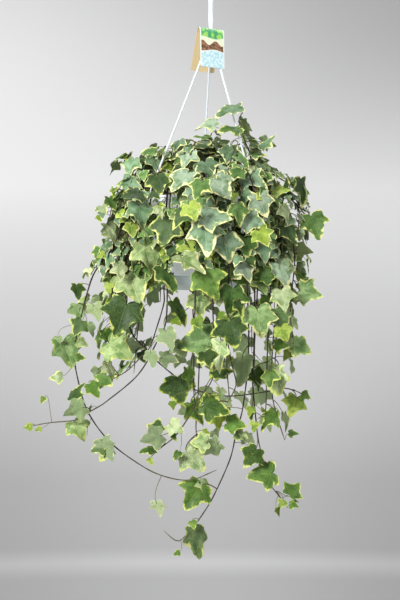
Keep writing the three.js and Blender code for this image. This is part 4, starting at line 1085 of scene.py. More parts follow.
# %% One leaf on a stem
LEAF_FRONT = 12  # a leaf stands this far in front of its stem
SHIFTS = [0, 7, -7, 14, -14, 21, -21, 28, -28, 35, 42, -35, 49, 56, 63]
CLOSE = 0.3  # a tip this near to a point of the solid is that leaf's
BASE_TO_CENTRE = 0.33  # of the blade's length
TIP = 0.84
CROWN_FROM, CROWN_RISE = -330, 70  # where leaves begin to look up, and over what height


def frame_of(facing, tip, turn, lean):
    """A blade's three directions: along to its tip, the way its face looks, and across. The tip points
    at an angle from straight down, seen from the way the leaf faces; it is turned about its length
    and leant back so that its face looks up."""
    facing, tip, turn, lean = np.radians([facing, tip, turn, lean])
    out = np.array([np.cos(facing), np.sin(facing), 0])
    along = np.sin(tip) * to_right(out) - np.cos(tip) * np.array([0, 0, 1])
    side = np.cross(out, along)
    face = np.cos(turn) * out + np.sin(turn) * side
    across = np.cos(turn) * side - np.sin(turn) * out
    leant_along = np.cos(lean) * along + np.sin(lean) * face
    return leant_along, np.cos(lean) * face - np.sin(lean) * along, across


def leaf(start, centre, long, bend, directions, tone, deep=0.0, spread=0.28):
    """The facts of one leaf: bend is its fold and droop, deep how much painted shade darkens its green
    for a dark place, and spread how far its green may differ from others."""
    along, face, across = directions
    base = centre - BASE_TO_CENTRE * long * along
    return {"start": start, "base": base, "long": long, "fold": bend[0], "droop": bend[1],
            "along": along, "face": face, "across": across, "tone": tone, "deep": deep,
            "spread": spread, "depth": centre[1], "seen": np.array(seen_at(centre))}


def bend_of(first, second):
    """A blade's fold and droop from two draws."""
    return 0.05 + 0.12 * first, 0.08 + 0.2 * second


def crown_share(up):
    """0 at the pot's rim and below, 1 at the top of the crown."""
    return np.clip((up - CROWN_FROM) / CROWN_RISE, 0, 1)


def nearest_ring(stem, centre, long, along):
    """The ring of the stem that a petiole grows from: the one nearest to a point behind the blade."""
    wanted = centre - (BASE_TO_CENTRE * long + 14) * along
    rings = stem.rings[2:]
    return rings[np.argmin(np.linalg.norm(rings - wanted, axis=1))]


def tree_of(name):
    """The points of a solid, for finding a leaf's tip among them."""
    mesh = nodes[name].data
    places = np.empty(len(mesh.vertices) * 3)
    mesh.vertices.foreach_get("co", places)
    tree = KDTree(len(mesh.vertices))
    for i, place in enumerate(places.reshape(-1, 3)):
        tree.insert(place, i)
    tree.balance()
    return tree


trees = {stem.name: tree_of(stem.name) for stem in stems}


def in_its_solid(stem, made):
    """Whether the leaf's tip is a point of the stem's solid."""
    drop = made["droop"] * TIP**2 * made["long"]
    tip = made["base"] + TIP * made["long"] * made["along"] - drop * made["face"]
    return trees[stem.name].find(tip * MM)[2] / MM < CLOSE


def faces_up(tip, turn):
    """Of the two turns that look alike from the front, the one whose face looks up."""
    return -turn if np.sin(np.radians(tip)) * np.sin(np.radians(turn)) < 0 else turn


def beside_strands(centre, long):
    """The centre moved to behind or in front of a strand, as the photograph shows them."""
    for name, low, high, way in CROSSINGS:
        rim = around(STRANDS[name], STRAND_RING, RIM_TOP)
        share = (HUB_BASE - centre[2]) / (HUB_BASE - RIM_TOP)
        passing = share * rim
        if low < centre[2] < high and abs(passing[0] - centre[0]) < 0.5 * long:
            wanted = passing[1] + way * (6 + (0.2 if way > 0 else 0.5) * long)
            if (wanted - centre[1]) * way > 0:
                centre = np.array([centre[0], wanted, centre[2]])
    return centre


def grow(stem, place_at, long, bend, in_solid, shown, tone, ring=None):
    """The step that the solid's leaf took is the one whose tip is a point of the solid. Then the leaf
    gets the directions it shows. A leaf from the list is made even where no step fits."""
    found = False
    for shift in SHIFTS:
        centre = place_at(shift)
        start = nearest_ring(stem, centre, long, in_solid[0]) if ring is None else ring
        found = in_its_solid(stem, leaf(start, centre, long, bend, in_solid, tone))
        if found:
            break
    if not found:
        if ring is not None:
            return False
        centre = place_at(0)
        start = nearest_ring(stem, centre, long, in_solid[0])
    directions, share, nearer, deep = shown
    across, up = seen_at(centre)
    centre = beside_strands(in_sight(across, centre[1] - nearer, up), long)
    stem.leaves.append(leaf(start, centre, long * share, bend, directions, tone, deep, spread=0.14))
    return found


def stem_seen_nearest(across, up):
    """The front stem whose ring is seen nearest to a point, and that ring's depth."""
    best = []
    for stem in front:
        x, z = seen_at(stem.rings[2:])
        gap = np.hypot(x - across, z - up)
        best.append((gap.min(), stem.rings[2:][gap.argmin()][1]))
    i = int(np.argmin([gap for gap, _ in best]))
    return front[i], best[i][1]


def grow_front(rows):
    """Grows the listed leaves on the stems seen nearest, and counts those found in their solids. In the
    crown they turn and lean further, so that they look up."""
    found = 0
    for across, up, long, tip, turn, tone in rows:
        stem, depth = stem_seen_nearest(across, up)
        lean, bend = 5 + 20 * draw(), bend_of(draw(), draw())
        top = crown_share(up)
        turned_up = faces_up(tip, turn)
        turned_up += np.sign(turned_up) * 12 * top * (abs(turn) < 62)
        leant = (lean + 24 * top) * np.clip(1.5 * np.cos(np.radians(tip)), -1, 1)
        as_usual = (1, turned_up, leant, 0, 0)
        share, seen_turn, seen_lean, nearer, deep = SHOWN_AS.get((across, up), as_usual)
        shown = (frame_of(-90, tip, seen_turn, seen_lean), share, nearer, deep)
        found += grow(stem, lambda shift: in_sight(across, depth - LEAF_FRONT - shift, up), long, bend,
                      frame_of(-90, tip, turn, lean), shown, tone)
        if (across, up) in HANGS_FROM:
            stem.leaves[-1]["start"] = in_sight(*HANGS_FROM[across, up])
    return found


found = grow_front(sorted(LEAVES, key=lambda leaf_row: -leaf_row[2]))
print("front leaves:", len(LEAVES), "of them as in the solids:", found)

# %% [markdown]
# The leaves of the back grow by rule, one at each ring of a stem, on alternate sides. They face away
# from the pot, and they get smaller towards the stem's end.

# %% Leaves of the back
def grow_back(stem):
    """Grows a leaf at each ring of a stem, and counts them."""
    crown = stem.name.startswith("shoot")
    last = len(stem.rings) - 1
    found = 0
    for i in range(2 if crown else 3, last + 1):
        ring = stem.rings[i]
        hand = 1 if i % 2 else -1
        facing = bearing(ring) + 30 * (draw() - 0.5)
        long = (50 - 24 * i / last) * (0.85 + 0.3 * draw())
        tip = hand * (8 + 50 * draw())
        turn = 50 * (draw() - 0.5)
        lean = 35 + 30 * draw() if crown else 5 + 30 * draw()
        bend = bend_of(draw(), draw())
        out = outwards(facing)
        forward = 14 + 10 * draw()
        aside = hand * (12 + 14 * draw())
        lower = -6 if crown else 12 + 10 * draw()
        middle = ring + aside * to_right(out) - [0, 0, lower]
        shown = (frame_of(facing, tip, faces_up(tip, turn), lean), 1, 0, 0)
        found += grow(stem, lambda shift: middle + (forward + shift) * out, long, bend,
                      frame_of(facing, tip, turn, lean), shown, i % 2, ring)
    return found


found = sum(grow_back(stem) for stem in back)
print("back leaves:", sum(len(stem.leaves) for stem in back), "of them as in the solids:", found)
grow_front(EXTRA_LEAVES)

# %% [markdown]
# A real crown is far denser than the solids. The rest of its leaves follows rules. Seen from the
# front, such a leaf steps back behind every listed leaf that it would cover. It isn't made where the
# photograph shows the pot or open air, inside the pot, too close to another, or too far from any stem
# for its petiole.

# %% Where a further leaf may grow
LONGEST_PETIOLE = 78.0
WIDEST_POT, UNDER_SAUCER = 101, -466
OPEN_BELOW = -440  # under this height air shows between the stems
# Where the photograph shows the pot and its saucer between the leaves: across, up and radius
WINDOWS = np.array([[-64, -324, 11], [-41, -433, 18]])
heroes = [made for stem in front for made in stem.leaves]
hero_seen = np.array([made["seen"] for made in heroes])
hero_depth = np.array([made["depth"] for made in heroes])
hero_long = np.array([made["long"] for made in heroes])
fine_lines = {stem.name: stem.spaced(int(stem.length / 6) + 2)[4:] for stem in stems}


def behind_heroes(centre, long):
    """The centre moved back to behind every listed leaf that it would cover."""
    gap = np.hypot(*(hero_seen - np.array(seen_at(centre))).T)
    over = gap < 0.36 * (hero_long + long)
    limit = hero_depth[over].max() + 6 if over.any() else -np.inf
    return centre + [0, max(0, limit - centre[1]), 0]


def in_the_open(centre, long):
    """Whether a leaf would be seen from the front in a gap of the photograph's plant."""
    across, up = seen_at(centre)
    gap = np.hypot(WINDOWS[:, 0] - across, WINDOWS[:, 1] - up)
    if centre[1] < 0 and (gap < WINDOWS[:, 2] + 0.25 * long).any():
        return True
    beside = (np.hypot(*(hero_seen - [across, up]).T) < 0.4 * (hero_long + long)).any()
    return up < OPEN_BELOW and not beside


def clear_of_pot(centre):
    out = np.hypot(centre[0] - POT_X, centre[1])
    return centre[2] > RIM_TOP + 6 or out > WIDEST_POT or centre[2] < UNDER_SAUCER


def nearest_stem(place, among):
    """The stem that passes nearest to a place, its nearest point and how far that is."""
    gaps = [np.linalg.norm(fine_lines[stem.name] - place, axis=1) for stem in among]
    i = int(np.argmin([gap.min() for gap in gaps]))
    stem = among[i]
    return stem, fine_lines[stem.name][gaps[i].argmin()], gaps[i].min()


def add_fill(centre, facing, long, tone, among, furthest=200.0, deep=0.0, lean=5.0):
    """One leaf by rule: it hangs about straight down with some spread, and looks out and up. It isn't
    made where it would have to step back further than the distance given."""
    chances = chance.random(6)
    from_front = abs((facing + 90 + 180) % 360 - 180)
    if from_front < 100:
        wanted = beside_strands(behind_heroes(centre, long), long)
        if wanted[1] - centre[1] > furthest:
            return False
        centre = wanted
    if not clear_of_pot(centre) or in_the_open(centre, long):
        return False
    if any(np.linalg.norm(centre - other) < 0.19 * (long + size) for other, size in filled):
        return False
    tip = 120 * (chances[1] - 0.5)
    turn = faces_up(tip, 90 * (chances[2] - 0.5))
    leant = lean + 35 * chances[3] + 20 * crown_share(centre[2])
    directions = frame_of(facing + 50 * (chances[0] - 0.5), tip, turn, leant)
    base = centre - BASE_TO_CENTRE * long * directions[0]
    stem, start, gap = nearest_stem(base - 12 * directions[0], among)
    if gap > LONGEST_PETIOLE:
        return False
    filled.append((centre, long))
    bend = bend_of(chances[4], chances[5])
    stem.leaves.append(leaf(start, centre, long, bend, directions, tone, deep))
    return True


filled = []
for stem in back:
    centres = [made["base"] + BASE_TO_CENTRE * made["long"] * made["along"] for made in stem.leaves]
    stem.leaves = [made for made, centre in zip(stem.leaves, centres)
                   if not in_the_open(centre, made["long"])]
print("listed leaves that others keep behind:", len(heroes))

# %% [markdown]
# Four rules fill the plant. Small leaves sit close to the front stems where these pass over the rim. A
# canopy, a turned shape round the pot, is covered evenly by points at the golden angle. Leaves that look
# up close over the soil. Last, leaves hang here and there beside the lower stems.

# %% Leaves that fill the plant
CANOPY = np.array([[18, -236], [52, -244], [84, -262], [112, -290], [128, -326], [132, -366],
                   [126, -410], [118, -450]], float)
CANOPY_LEAVES, SOIL_LEAVES = 1500, 160
CANOPY_DEEP = 34.0
GOLDEN = 137.50776
CURTAIN_TOP = -400

for stem in front:
    for place in np.repeat(fine_lines[stem.name], 2, 0):
        inside = np.hypot(place[0] - POT_X, place[1]) < 90
        if place[2] < OPEN_BELOW or place[2] < RIM_TOP - 6 and inside:
            continue
        facing = bearing(place) + chance.uniform(-30, 30)
        out = outwards(facing)
        aside = to_right(out) * chance.uniform(-9, 9)
        long = chance.uniform(12, 27)
        tone = chance.choice([0, 1, 2, 3], p=[0.34, 0.46, 0.12, 0.08])
        centre = place + out * chance.uniform(7, 16) + aside + [0, 0, chance.uniform(-4, 4)]
        add_fill(centre, facing, long, tone, [stem], furthest=14.0)
print("leaves over the rim:", len(filled))
along_canopy = np.r_[0, np.cumsum(np.linalg.norm(np.diff(CANOPY, axis=0), axis=1))]
share = np.sqrt(np.linspace(0.02, 1, CANOPY_LEAVES))
radius, height = (np.interp(share * along_canopy[-1], along_canopy, side) for side in CANOPY.T)
for i in range(CANOPY_LEAVES):
    facing = (GOLDEN * i) % 360
    inward = chance.uniform(-4, CANOPY_DEEP)
    centre = around(facing, max(8, radius[i] - inward), height[i] + chance.uniform(-8, 8))
    long = chance.choice([15, 19, 23, 27, 32, 38], p=[0.14, 0.22, 0.26, 0.2, 0.12, 0.06])
    tone = chance.choice([0, 1, 2, 3], p=[0.32, 0.48, 0.1, 0.1])
    # Leaves deeper inside the canopy get more painted shade.
    add_fill(centre, facing, float(long), tone, stems, deep=max(0.0, inward / CANOPY_DEEP))
print("with the canopy's:", len(filled))
for i in range(SOIL_LEAVES):
    out = 84 * np.sqrt((i + 1) / SOIL_LEAVES)
    centre = around((GOLDEN * i) % 360, out, SOIL_TOP + chance.uniform(12, 34))
    # Leaves over the soil lie under the crown and get painted shade.
    add_fill(centre, chance.uniform(0, 360), chance.uniform(18, 30), chance.choice([0, 1]), stems,
             furthest=12.0, deep=0.4, lean=45.0)
print("with those over the soil:", len(filled))
for stem in stems:
    size_share, kept_share = (1.15, 0.75) if stem in back else (0.85, 0.5)
    for place in fine_lines[stem.name][::3]:
        if place[2] > CURTAIN_TOP:
            continue
        facing = bearing(place) + chance.uniform(-50, 50)
        out = outwards(facing)
        hand = chance.choice([-1, 1])
        long = chance.uniform(14, 34) * size_share
        centre = place + out * chance.uniform(4, 20) + to_right(out) * hand * chance.uniform(8, 24)
        centre[2] -= chance.uniform(0, 14)
        if chance.random() < kept_share:
            tone = chance.choice([0, 1, 3]) if long > 20 else 2
            add_fill(centre, facing, long, tone, [stem])
print("leaves in all:", sum(len(stem.leaves) for stem in stems))

# %% [markdown]
# An ivy blade has five lobes, or three on a young leaf, and its main veins run from the petiole to
# the tips of the lobes. For each of three ages the right half of the outline was drawn twice, once
# with pointed and once with rounded lobes, in lengths of the blade. Each leaf lies somewhere between
# the two, and its left half mirrors the right one. The blade is a fan from the petiole's end to a
# middle ring and on to the edge, so the lines of the fan fall on the veins. It folds along the midrib,
# droops to the tip, cups at the sides, quilts between the veins and waves at the edge. The underside
# has points of its own, half a millimetre lower, and both meet at the edge, so the leaf is closed.

# %% Outlines of the blades
OUTLINES = {
    "large": (
        [[0, -0.02], [0.05, -0.1], [0.14, -0.155], [0.27, -0.175], [0.38, -0.14], [0.39, -0.05],
         [0.375, 0.03], [0.465, 0.11], [0.555, 0.23], [0.575, 0.3], [0.45, 0.325], [0.3, 0.385],
         [0.235, 0.5], [0.17, 0.64], [0.085, 0.775], [0, 0.84]],
        [[0, -0.02], [0.06, -0.12], [0.16, -0.18], [0.29, -0.19], [0.41, -0.14], [0.46, -0.05],
         [0.44, 0.02], [0.5, 0.07], [0.59, 0.17], [0.6, 0.29], [0.51, 0.37], [0.36, 0.4],
         [0.3, 0.5], [0.24, 0.63], [0.14, 0.76], [0, 0.84]],
    ),
    "grown": (
        [[0, -0.02], [0.11, -0.14], [0.27, -0.165], [0.38, -0.11], [0.365, 0.03], [0.5, 0.15],
         [0.56, 0.285], [0.41, 0.335], [0.26, 0.43], [0.165, 0.64], [0, 0.84]],
        [[0, -0.02], [0.12, -0.16], [0.3, -0.18], [0.44, -0.1], [0.42, 0.03], [0.55, 0.12],
         [0.59, 0.29], [0.46, 0.39], [0.31, 0.42], [0.22, 0.64], [0, 0.84]],
    ),
    "young": (
        [[0, -0.02], [0.13, -0.13], [0.28, -0.09], [0.42, 0.08], [0.46, 0.22], [0.26, 0.38],
         [0.14, 0.62], [0, 0.84]],
        [[0, -0.02], [0.15, -0.15], [0.32, -0.1], [0.43, 0.06], [0.44, 0.21], [0.28, 0.34],
         [0.2, 0.62], [0, 0.84]],
    ),
}
# From the tip's direction to the side lobe's and the base lobe's, in degrees
SIDE_VEIN, BASE_VEIN = 62.0, 112.0
YOUNG, LARGE = 24, 40
MIDDLE_RING = 0.55


def age_of(long):
    return "young" if long < YOUNG else "large" if long >= LARGE else "grown"


def flat_blade(age):
    """The blade before it is bent: where each point lies across and along, on the pointed and on the
    rounded outline, how near the edge it is, and the faces of the top and of the underside. Both are
    split along the same lines, so that neither shows through the other.
    Points: petiole's end, middle ring, edge, and again middle ring and petiole's end underneath."""
    right = np.array(OUTLINES[age])
    edge = np.concatenate([right, right[:, -2:0:-1] * [-1, 1]], 1)
    n = edge.shape[1]
    centre = np.zeros((2, 1, 2))
    flat = np.concatenate([centre, edge * MIDDLE_RING, edge, edge * MIDDLE_RING, centre], 1)
    ring_near = np.full(n, MIDDLE_RING)
    near = np.concatenate([[0], ring_near, np.ones(n), ring_near, [0]])
    j = np.arange(n)
    k = (j + 1) % n
    middle, edge_at, low = 1, 1 + n, 1 + 2 * n
    fan = np.stack([np.zeros(n, int), middle + j, middle + k], -1)
    ring = np.stack([middle + j, edge_at + j, edge_at + k], -1)
    rest = np.stack([middle + j, edge_at + k, middle + k], -1)
    top = np.concatenate([fan, ring, rest])
    swap = np.arange(low + n + 1)
    swap[0] = low + n
    swap[middle:edge_at] = low + np.arange(n)
    return flat, near, top, swap[top][:, ::-1]


FLAT = {age: flat_blade(age) for age in OUTLINES}
for age, (flat, _, top, low) in FLAT.items():
    print("a", age, "blade: points", flat.shape[1], "faces", len(top) + len(low))


# %% [markdown]
# No two leaves are alike. Each gets eight numbers of its own, between -1 and 1, which make its side
# lobes longer or shorter, its halves unequal, its midrib bent and its edge more or less wavy. All the
# leaves of a stem that share an outline are bent together, as whole arrays.

# %% Bent blades
BELOW_CROWN = -430.0  # leaves that hang under this height are rounder and of a warmer green


def facts(leaves, *names):
    """For each name, an array of that fact of all the leaves."""
    return [np.array([made[name] for made in leaves]) for name in names]


def bent_blades(leaves, age):
    """Points (n, m, 3) and notes of n leaves. The rise of a point over the flat blade is
    fold * |u| - droop * v * |v| - 0.35 * u * u, plus a quilt that is lowest on the veins, plus a wave
    and a curl that grow towards the edge."""
    flat, near, _, _ = FLAT[age]
    n, m = len(leaves), flat.shape[1]
    long, fold, droop = (fact[:, None] for fact in facts(leaves, "long", "fold", "droop"))
    base, along, face, across = (
        fact[:, None] for fact in facts(leaves, "base", "along", "face", "across"))
    uneven = chance.uniform(-1, 1, (8, n, 1))
    low = base[..., 2:] < BELOW_CROWN
    rounded = chance.uniform(-0.5, 0.5, (n, 1, 1)) + 0.25 * low
    u, v = np.moveaxis(flat[0] * (1 - rounded) + flat[1] * rounded, -1, 0)
    angle = np.degrees(np.arctan2(np.abs(u), v))
    lobe = np.exp(-(((angle - SIDE_VEIN) / 22) ** 2))
    base_lobe = np.exp(-(((angle - BASE_VEIN) / 24) ** 2))
    hand = np.sign(u)
    grow_by = 1 + lobe * (0.06 * uneven[0] + 0.07 * hand * uneven[1]) + base_lobe * 0.1 * uneven[2]
    jag = chance.uniform(-0.02, 0.02, (2, n, m)) * (near > 0.99)
    u = u * grow_by * (1 + 0.04 * uneven[3]) + 0.05 * uneven[4] * v * np.abs(v) + jag[0]
    v = v * grow_by + jag[1]
    between = np.sin(np.radians(angle) * 180 / SIDE_VEIN) ** 2
    quilt = 0.022 * between * np.sin(np.pi * np.minimum(near, 0.8))
    ripple = np.sin(np.radians(angle * hand * 4) + 3 * uneven[5]) * (0.05 + 0.03 * uneven[6])
    curl = (-0.05 - 0.07 * uneven[7]) * lobe * near**2 - 0.1 * (uneven[6] + 0.3) * hand * near**2 * v
    folded = (fold + 0.11 + 0.05 * uneven[3]) * np.abs(u)
    rise = folded - droop * v * np.abs(v) - 0.35 * u**2
    rise = rise + quilt + ripple * near**4 + curl
    edge_count = (m - 2) // 3
    under = np.arange(m) > 2 * edge_count
    thick = np.where(under, np.maximum(0.5, 0.014 * long), 0)
    points = base + across * (u * long)[..., None]
    points = points + along * (v * long)[..., None]
    points = points + face * (rise * long - thick)[..., None]
    wide = near + 0.035 * uneven[7] - 0.02 * low[:, 0]
    notes = np.stack([u, v, np.broadcast_to(wide, (n, m))], -1)
    return points, notes


ages = [age_of(made["long"]) for stem in stems for made in stem.leaves]
print("leaves of each outline:", {age: ages.count(age) for age in OUTLINES})

# %% [markdown]
# A petiole is a thin stalk, about as long as the blade, that leaves the stem at an angle and comes into
# the blade along its length. A cubic with four corners does that: the stem, a point up from the stem, a
# point behind the blade, and the blade.

# %% Petioles
PETIOLE_ROWS, PETIOLE_SIDES = 7, 5


def petiole_paths(leaves):
    """Paths (n, rows, 3): a cubic from the stem to just inside the blade's underside."""
    start, base, along, face = facts(leaves, "start", "base", "along", "face")
    end = base + 0.6 * along - 0.45 * face
    reach = np.linalg.norm(end - start, axis=1)[:, None]
    lead = start + (end - start) * 0.3 + [0, 0, 1] * reach * 0.16
    behind = end - along * np.minimum(0.42 * reach, 20) - face * reach * 0.06
    t = np.linspace(0, 1, PETIOLE_ROWS)[None, :, None]
    corners = [corner[:, None] for corner in (start, lead, behind, end)]
    share = ((1 - t) ** 3, 3 * t * (1 - t) ** 2, 3 * t**2 * (1 - t), t**3)
    return sum(part * corner for part, corner in zip(share, corners))


path = petiole_paths(heroes[:1])[0]
print("the first leaf's petiole, mm:", round(np.linalg.norm(np.diff(path, axis=0), axis=1).sum()))


# %% [markdown]
# Each leaf has a green of its own, which its points carry as a tint, so that one finish serves them
# all. It is one of four near greens of its look, made a little lighter or darker. The tint's fourth
# number says how creamy the margin is: it is broad and cream in the crown, and lime lower down.

# %% Greens of the leaves
GREENS = {
    0: ["6a8664", "7b9476", "5e7a58", "8a9e82"],
    1: ["426029", "4f7030", "355025", "5f8142"],
    2: ["7c9626", "8aa234", "6e8c2a", "98ae48"],
    3: ["98ab72", "a6b684", "8a9f64", "b4c190"],
}
CREAM = {0: 0.85, 1: 0.6, 2: 0.2, 3: 0.8}
LIME_LOOK = 2
WARMER = [1.08, 1.08, 0.66]


def tint_of(made):
    """A leaf's green and how creamy its margin is. Where its place is shaded, both are painted darker,
    which is painted shade; a few listed leaves get a lighter green instead, a painted highlight.
    """
    tone = int(made["tone"])
    green = np.array(screen(GREENS[tone][chance.integers(4)])[:3])
    low = made["base"][2] < BELOW_CROWN
    if low and tone < LIME_LOOK:
        green = green * WARMER
    cream = np.clip(CREAM[tone] + chance.uniform(-0.25, 0.25) - 0.4 * low, 0, 1)
    bright = (0.88 if tone == LIME_LOOK else 0.97) + made["spread"] * chance.uniform(-1, 1)
    return np.r_[green * bright * (1 - 0.6 * made["deep"]), cream * (1 - 0.4 * max(0, made["deep"]))]


print("looks of leaves:", {look: len(greens) for look, greens in GREENS.items()})

# %% [markdown]
# Stems are as thick as a pencil lead near the soil and thinner at their ends, with a slight swelling
# at each node, where a leaf or an aerial root may grow. A stem, its petioles and its blades make up one
# surface. Petioles turn from red at the stem to green at the blade, and stems from brown to fresh.

# %% Parts of a leafy stem
BARK, RED, FRESH = (np.array(screen(text)[:3]) for text in ("2c2120", "4c302b", "66783a"))
STEM_SIDES = 8
BLADE_SLOT, UNDERSIDE_SLOT, BARK_SLOT = 0, 1, 2


def add_leaves(surface, leaves):
    """All blades of a stem: the underside's faces go on the points that the top's were added with."""
    for age in OUTLINES:
        some = [made for made in leaves if age_of(made["long"]) == age]
        if not some:
            continue
        points, notes = bent_blades(some, age)
        n, m = points.shape[:2]
        tints = np.repeat(np.array([tint_of(made) for made in some]), m, 0)
        first = (np.arange(n) * m)[:, None, None]
        top, low = ((side + first).reshape(-1, 3) for side in FLAT[age][2:])
        surface.add(points.reshape(-1, 3), [top], BLADE_SLOT, notes.reshape(-1, 3), tints)
        surface.faces.append(low + surface.count - n * m)
        surface.slots.append(np.full(len(low), UNDERSIDE_SLOT))


def add_petioles(surface, leaves):
    """Thin tubes, which are thicker under large leaves and lighter under young ones."""
    longs = facts(leaves, "long")[0]
    thick = np.clip(longs * 0.018, 0.35, 0.85)[:, None]
    radii = thick * np.linspace(1.15, 0.9, PETIOLE_ROWS)
    along = np.linspace(0, 1, PETIOLE_ROWS).repeat(PETIOLE_SIDES)
    along = np.r_[along, 0, 1][:, None]
    colours = RED * (1 - along) + FRESH * along
    for rings, long in zip(tubes(petiole_paths(leaves), radii, PETIOLE_SIDES), longs):
        points, faces = closed_rings(rings)
        surface.add(points, faces, BARK_SLOT, tints=colours * (1.3 if long < 26 else 0.85))


def add_stem(surface, stem):
    """A tube of rings about 7 mm apart. Its radius falls to half, and every 30 mm it swells."""
    rows = int(stem.length / 7) + 3
    path = stem.spaced(rows)
    share = np.linspace(0, 1, rows)
    nodes_along = np.abs(np.sin(np.pi * share * stem.length / 30)) ** 12
    radii = 1.25 - 0.6 * share + 0.2 * (1 - nodes_along) ** 8
    radii[-3:] *= [0.9, 0.75, 0.45]
    points, faces = closed_rings(tubes(path[None], radii[None], STEM_SIDES)[0])
    share = np.r_[share.repeat(STEM_SIDES), 0, 1][:, None]
    late = np.clip((share - 0.75) / 0.25, 0, 1)
    tints = BARK * (1 - late) + (RED * 0.6 + FRESH * 0.4) * late
    surface.add(points, faces, BARK_SLOT, tints=tints)


test = Surface()
add_stem(test, front[0])
print("points of the first stem without leaves:", test.count)

# %% [markdown]
# The blade's look comes from its notes. A pale vein lies where a point is close to the line from the
# petiole to a lobe's tip, and a net of fine veins lies between. The cream margin is where the point is
# near the edge, and noise shifts that border, as the real one is never even. Darker and paler patches
# with soft borders lie over the leaf's own green. The underside is paler and duller, and the stems'
# bark has streaks along them.

# %% Finish of the blades
def blade_finish():
    """A vein is where a point is beside a lobe's line and ahead of the petiole: u is how far it is from
    the midrib and v how far along, so turning them by the lobe's angle gives both."""
    finish = Finish("ivy_blade", IOR=1.45, Specular_IOR_Level=0.35)
    u, v, near = finish.parts(finish.attribute("note", "Vector"))
    green = finish.attribute("tint", "Color")
    creamy = finish.attribute("tint", "Alpha")
    place = finish.place()
    u = u.size()
    veins = []
    for angle in (0.0, SIDE_VEIN, BASE_VEIN):
        s, c = float(np.sin(np.radians(angle))), float(np.cos(np.radians(angle)))
        beside = (u * c - v * s).size()
        ahead = u * s + v * c
        veins.append(beside + finish.step(ahead, 0.02, -0.02))
    beside = veins[0].least(veins[1]).least(veins[2])
    main = finish.step(beside, 0.018, 0.003)
    net = finish.cells(finish.vector(u * 11, v * 11), 1.0, "DISTANCE_TO_EDGE")
    fine = finish.step(net, 0.09, 0.02)
    cloud = finish.noise(place, 70, 3, 0.6)
    dark = finish.stretch(green, (0.5, 0.62, 0.46))
    pale = finish.stretch(green, (1.42, 1.32, 1.5))
    colour = finish.blend(finish.step(cloud, 0.4, 0.58), dark, green)
    colour = finish.blend(finish.step(finish.noise(place, 100, 2), 0.5, 0.68) * 0.7, colour, pale)
    colour = finish.blend(fine * 0.08, colour, "9fb27a")
    colour = finish.blend(main * 0.42, colour, finish.stretch(green, (2.0, 1.7, 2.0)))
    wobble = finish.noise(place, 120, 3) - 0.5
    margin = finish.step(near + wobble * 0.8, 0.89, 0.955)
    lime = finish.step(near + wobble * 0.9, 0.76, 0.94)
    colour = finish.blend(lime * 0.4, colour, "90a44a")
    cream = finish.blend(creamy, "b8c25a", "dedaa5")
    colour = finish.blend(margin, colour, cream)
    rough = 0.46 + cloud * 0.14 + margin * 0.08 - main * 0.05
    relief = main * -0.6 + fine * -0.25 + cloud * 0.5
    return finish.wear(colour, rough, finish.bump(relief, 0.0006, 0.8))


def underside_finish():
    """A paler grey-green with the same net of veins, and a pale margin."""
    finish = Finish("ivy_underside", IOR=1.42)
    u, v, near = finish.parts(finish.attribute("note", "Vector"))
    green = finish.attribute("tint", "Color")
    place = finish.place()
    net = finish.cells(finish.vector(u.size() * 11, v * 11), 1.0, "DISTANCE_TO_EDGE")
    fine = finish.step(net, 0.1, 0.02)
    grey = finish.blend(0.72, finish.stretch(green, (1.5, 1.4, 1.4)), "93a679")
    colour = finish.blend(fine * 0.3, grey, "b2c096")
    margin = finish.step(near + (finish.noise(place, 150, 3) - 0.5) * 0.5, 0.92, 0.99)
    colour = finish.blend(margin, colour, "c4c790")
    return finish.wear(colour, 0.6 + fine * 0.1, finish.bump(fine, 0.0004))


def bark_finish():
    """The stem's own tint with upright streaks and a corky grain."""
    finish = Finish("ivy_bark", IOR=1.45)
    place = finish.place()
    own = finish.attribute("tint", "Color")
    streak = finish.noise(finish.stretch(place, (900, 900, 160)), 1, 3, 0.6)
    corky = finish.noise(place, 500, 2)
    colour = finish.blend(finish.step(streak, 0.3, 0.7), finish.stretch(own, (0.7, 0.66, 0.62)),
                          finish.stretch(own, (1.25, 1.2, 1.1)))
    return finish.wear(colour, 0.55 + corky * 0.2, finish.bump(streak + corky * 0.5, 0.0004))


ivy = [blade_finish(), underside_finish(), bark_finish()]
print("ivy finishes:", [material.name for material in ivy])

# %% [markdown]
# Now the plant can be made. Each leafy stem is one piece, and it takes the place of that stem's solid.

# %% Leafy stems
for stem in stems:
    surface = Surface()
    add_stem(surface, stem)
    add_petioles(surface, stem.leaves)
    add_leaves(surface, stem.leaves)
    make_piece(f"leafy_{stem.name}", surface, ivy, [stem.name], 75)

# %% [markdown]
# The plant hangs in front of a plain pale wall that runs into the floor with a round bend, so there is
# no hard line behind it. In a studio the wall is lit by lamps of its own: it is brightest behind the
# plant's top and on the left. Here the sheet gives that light off itself, by a ramp of greys over the
# height and soft steps to the sides.

# %% Wall and floor
WALL_AT, FLOOR_AT, BEND, WALL_TOP = 6000.0, -2050.0, 700.0, 4500.0
SEEN_HIGH = 3.3


def backdrop():
    """A turned sheet round the plant: the floor, a quarter circle, and the wall up."""
    angle = np.radians(np.linspace(-90, 0, 17))
    bend = np.c_[WALL_AT - BEND + BEND * np.cos(angle), FLOOR_AT + BEND + BEND * np.sin(angle)]
    line = np.concatenate([[[1, FLOOR_AT], [2500, FLOOR_AT]], bend, [[WALL_AT, WALL_TOP]]])
    turn = np.linspace(0, 2 * np.pi, 128, endpoint=False)
    x, y = line[:, :1] * np.cos(turn), line[:, :1] * np.sin(turn)
    z = np.broadcast_to(line[:, 1:], x.shape)
    rings = np.stack([x, y, z], -1)
    return Surface().add(rings.reshape(-1, 3), [ring_faces(len(line), len(turn))])


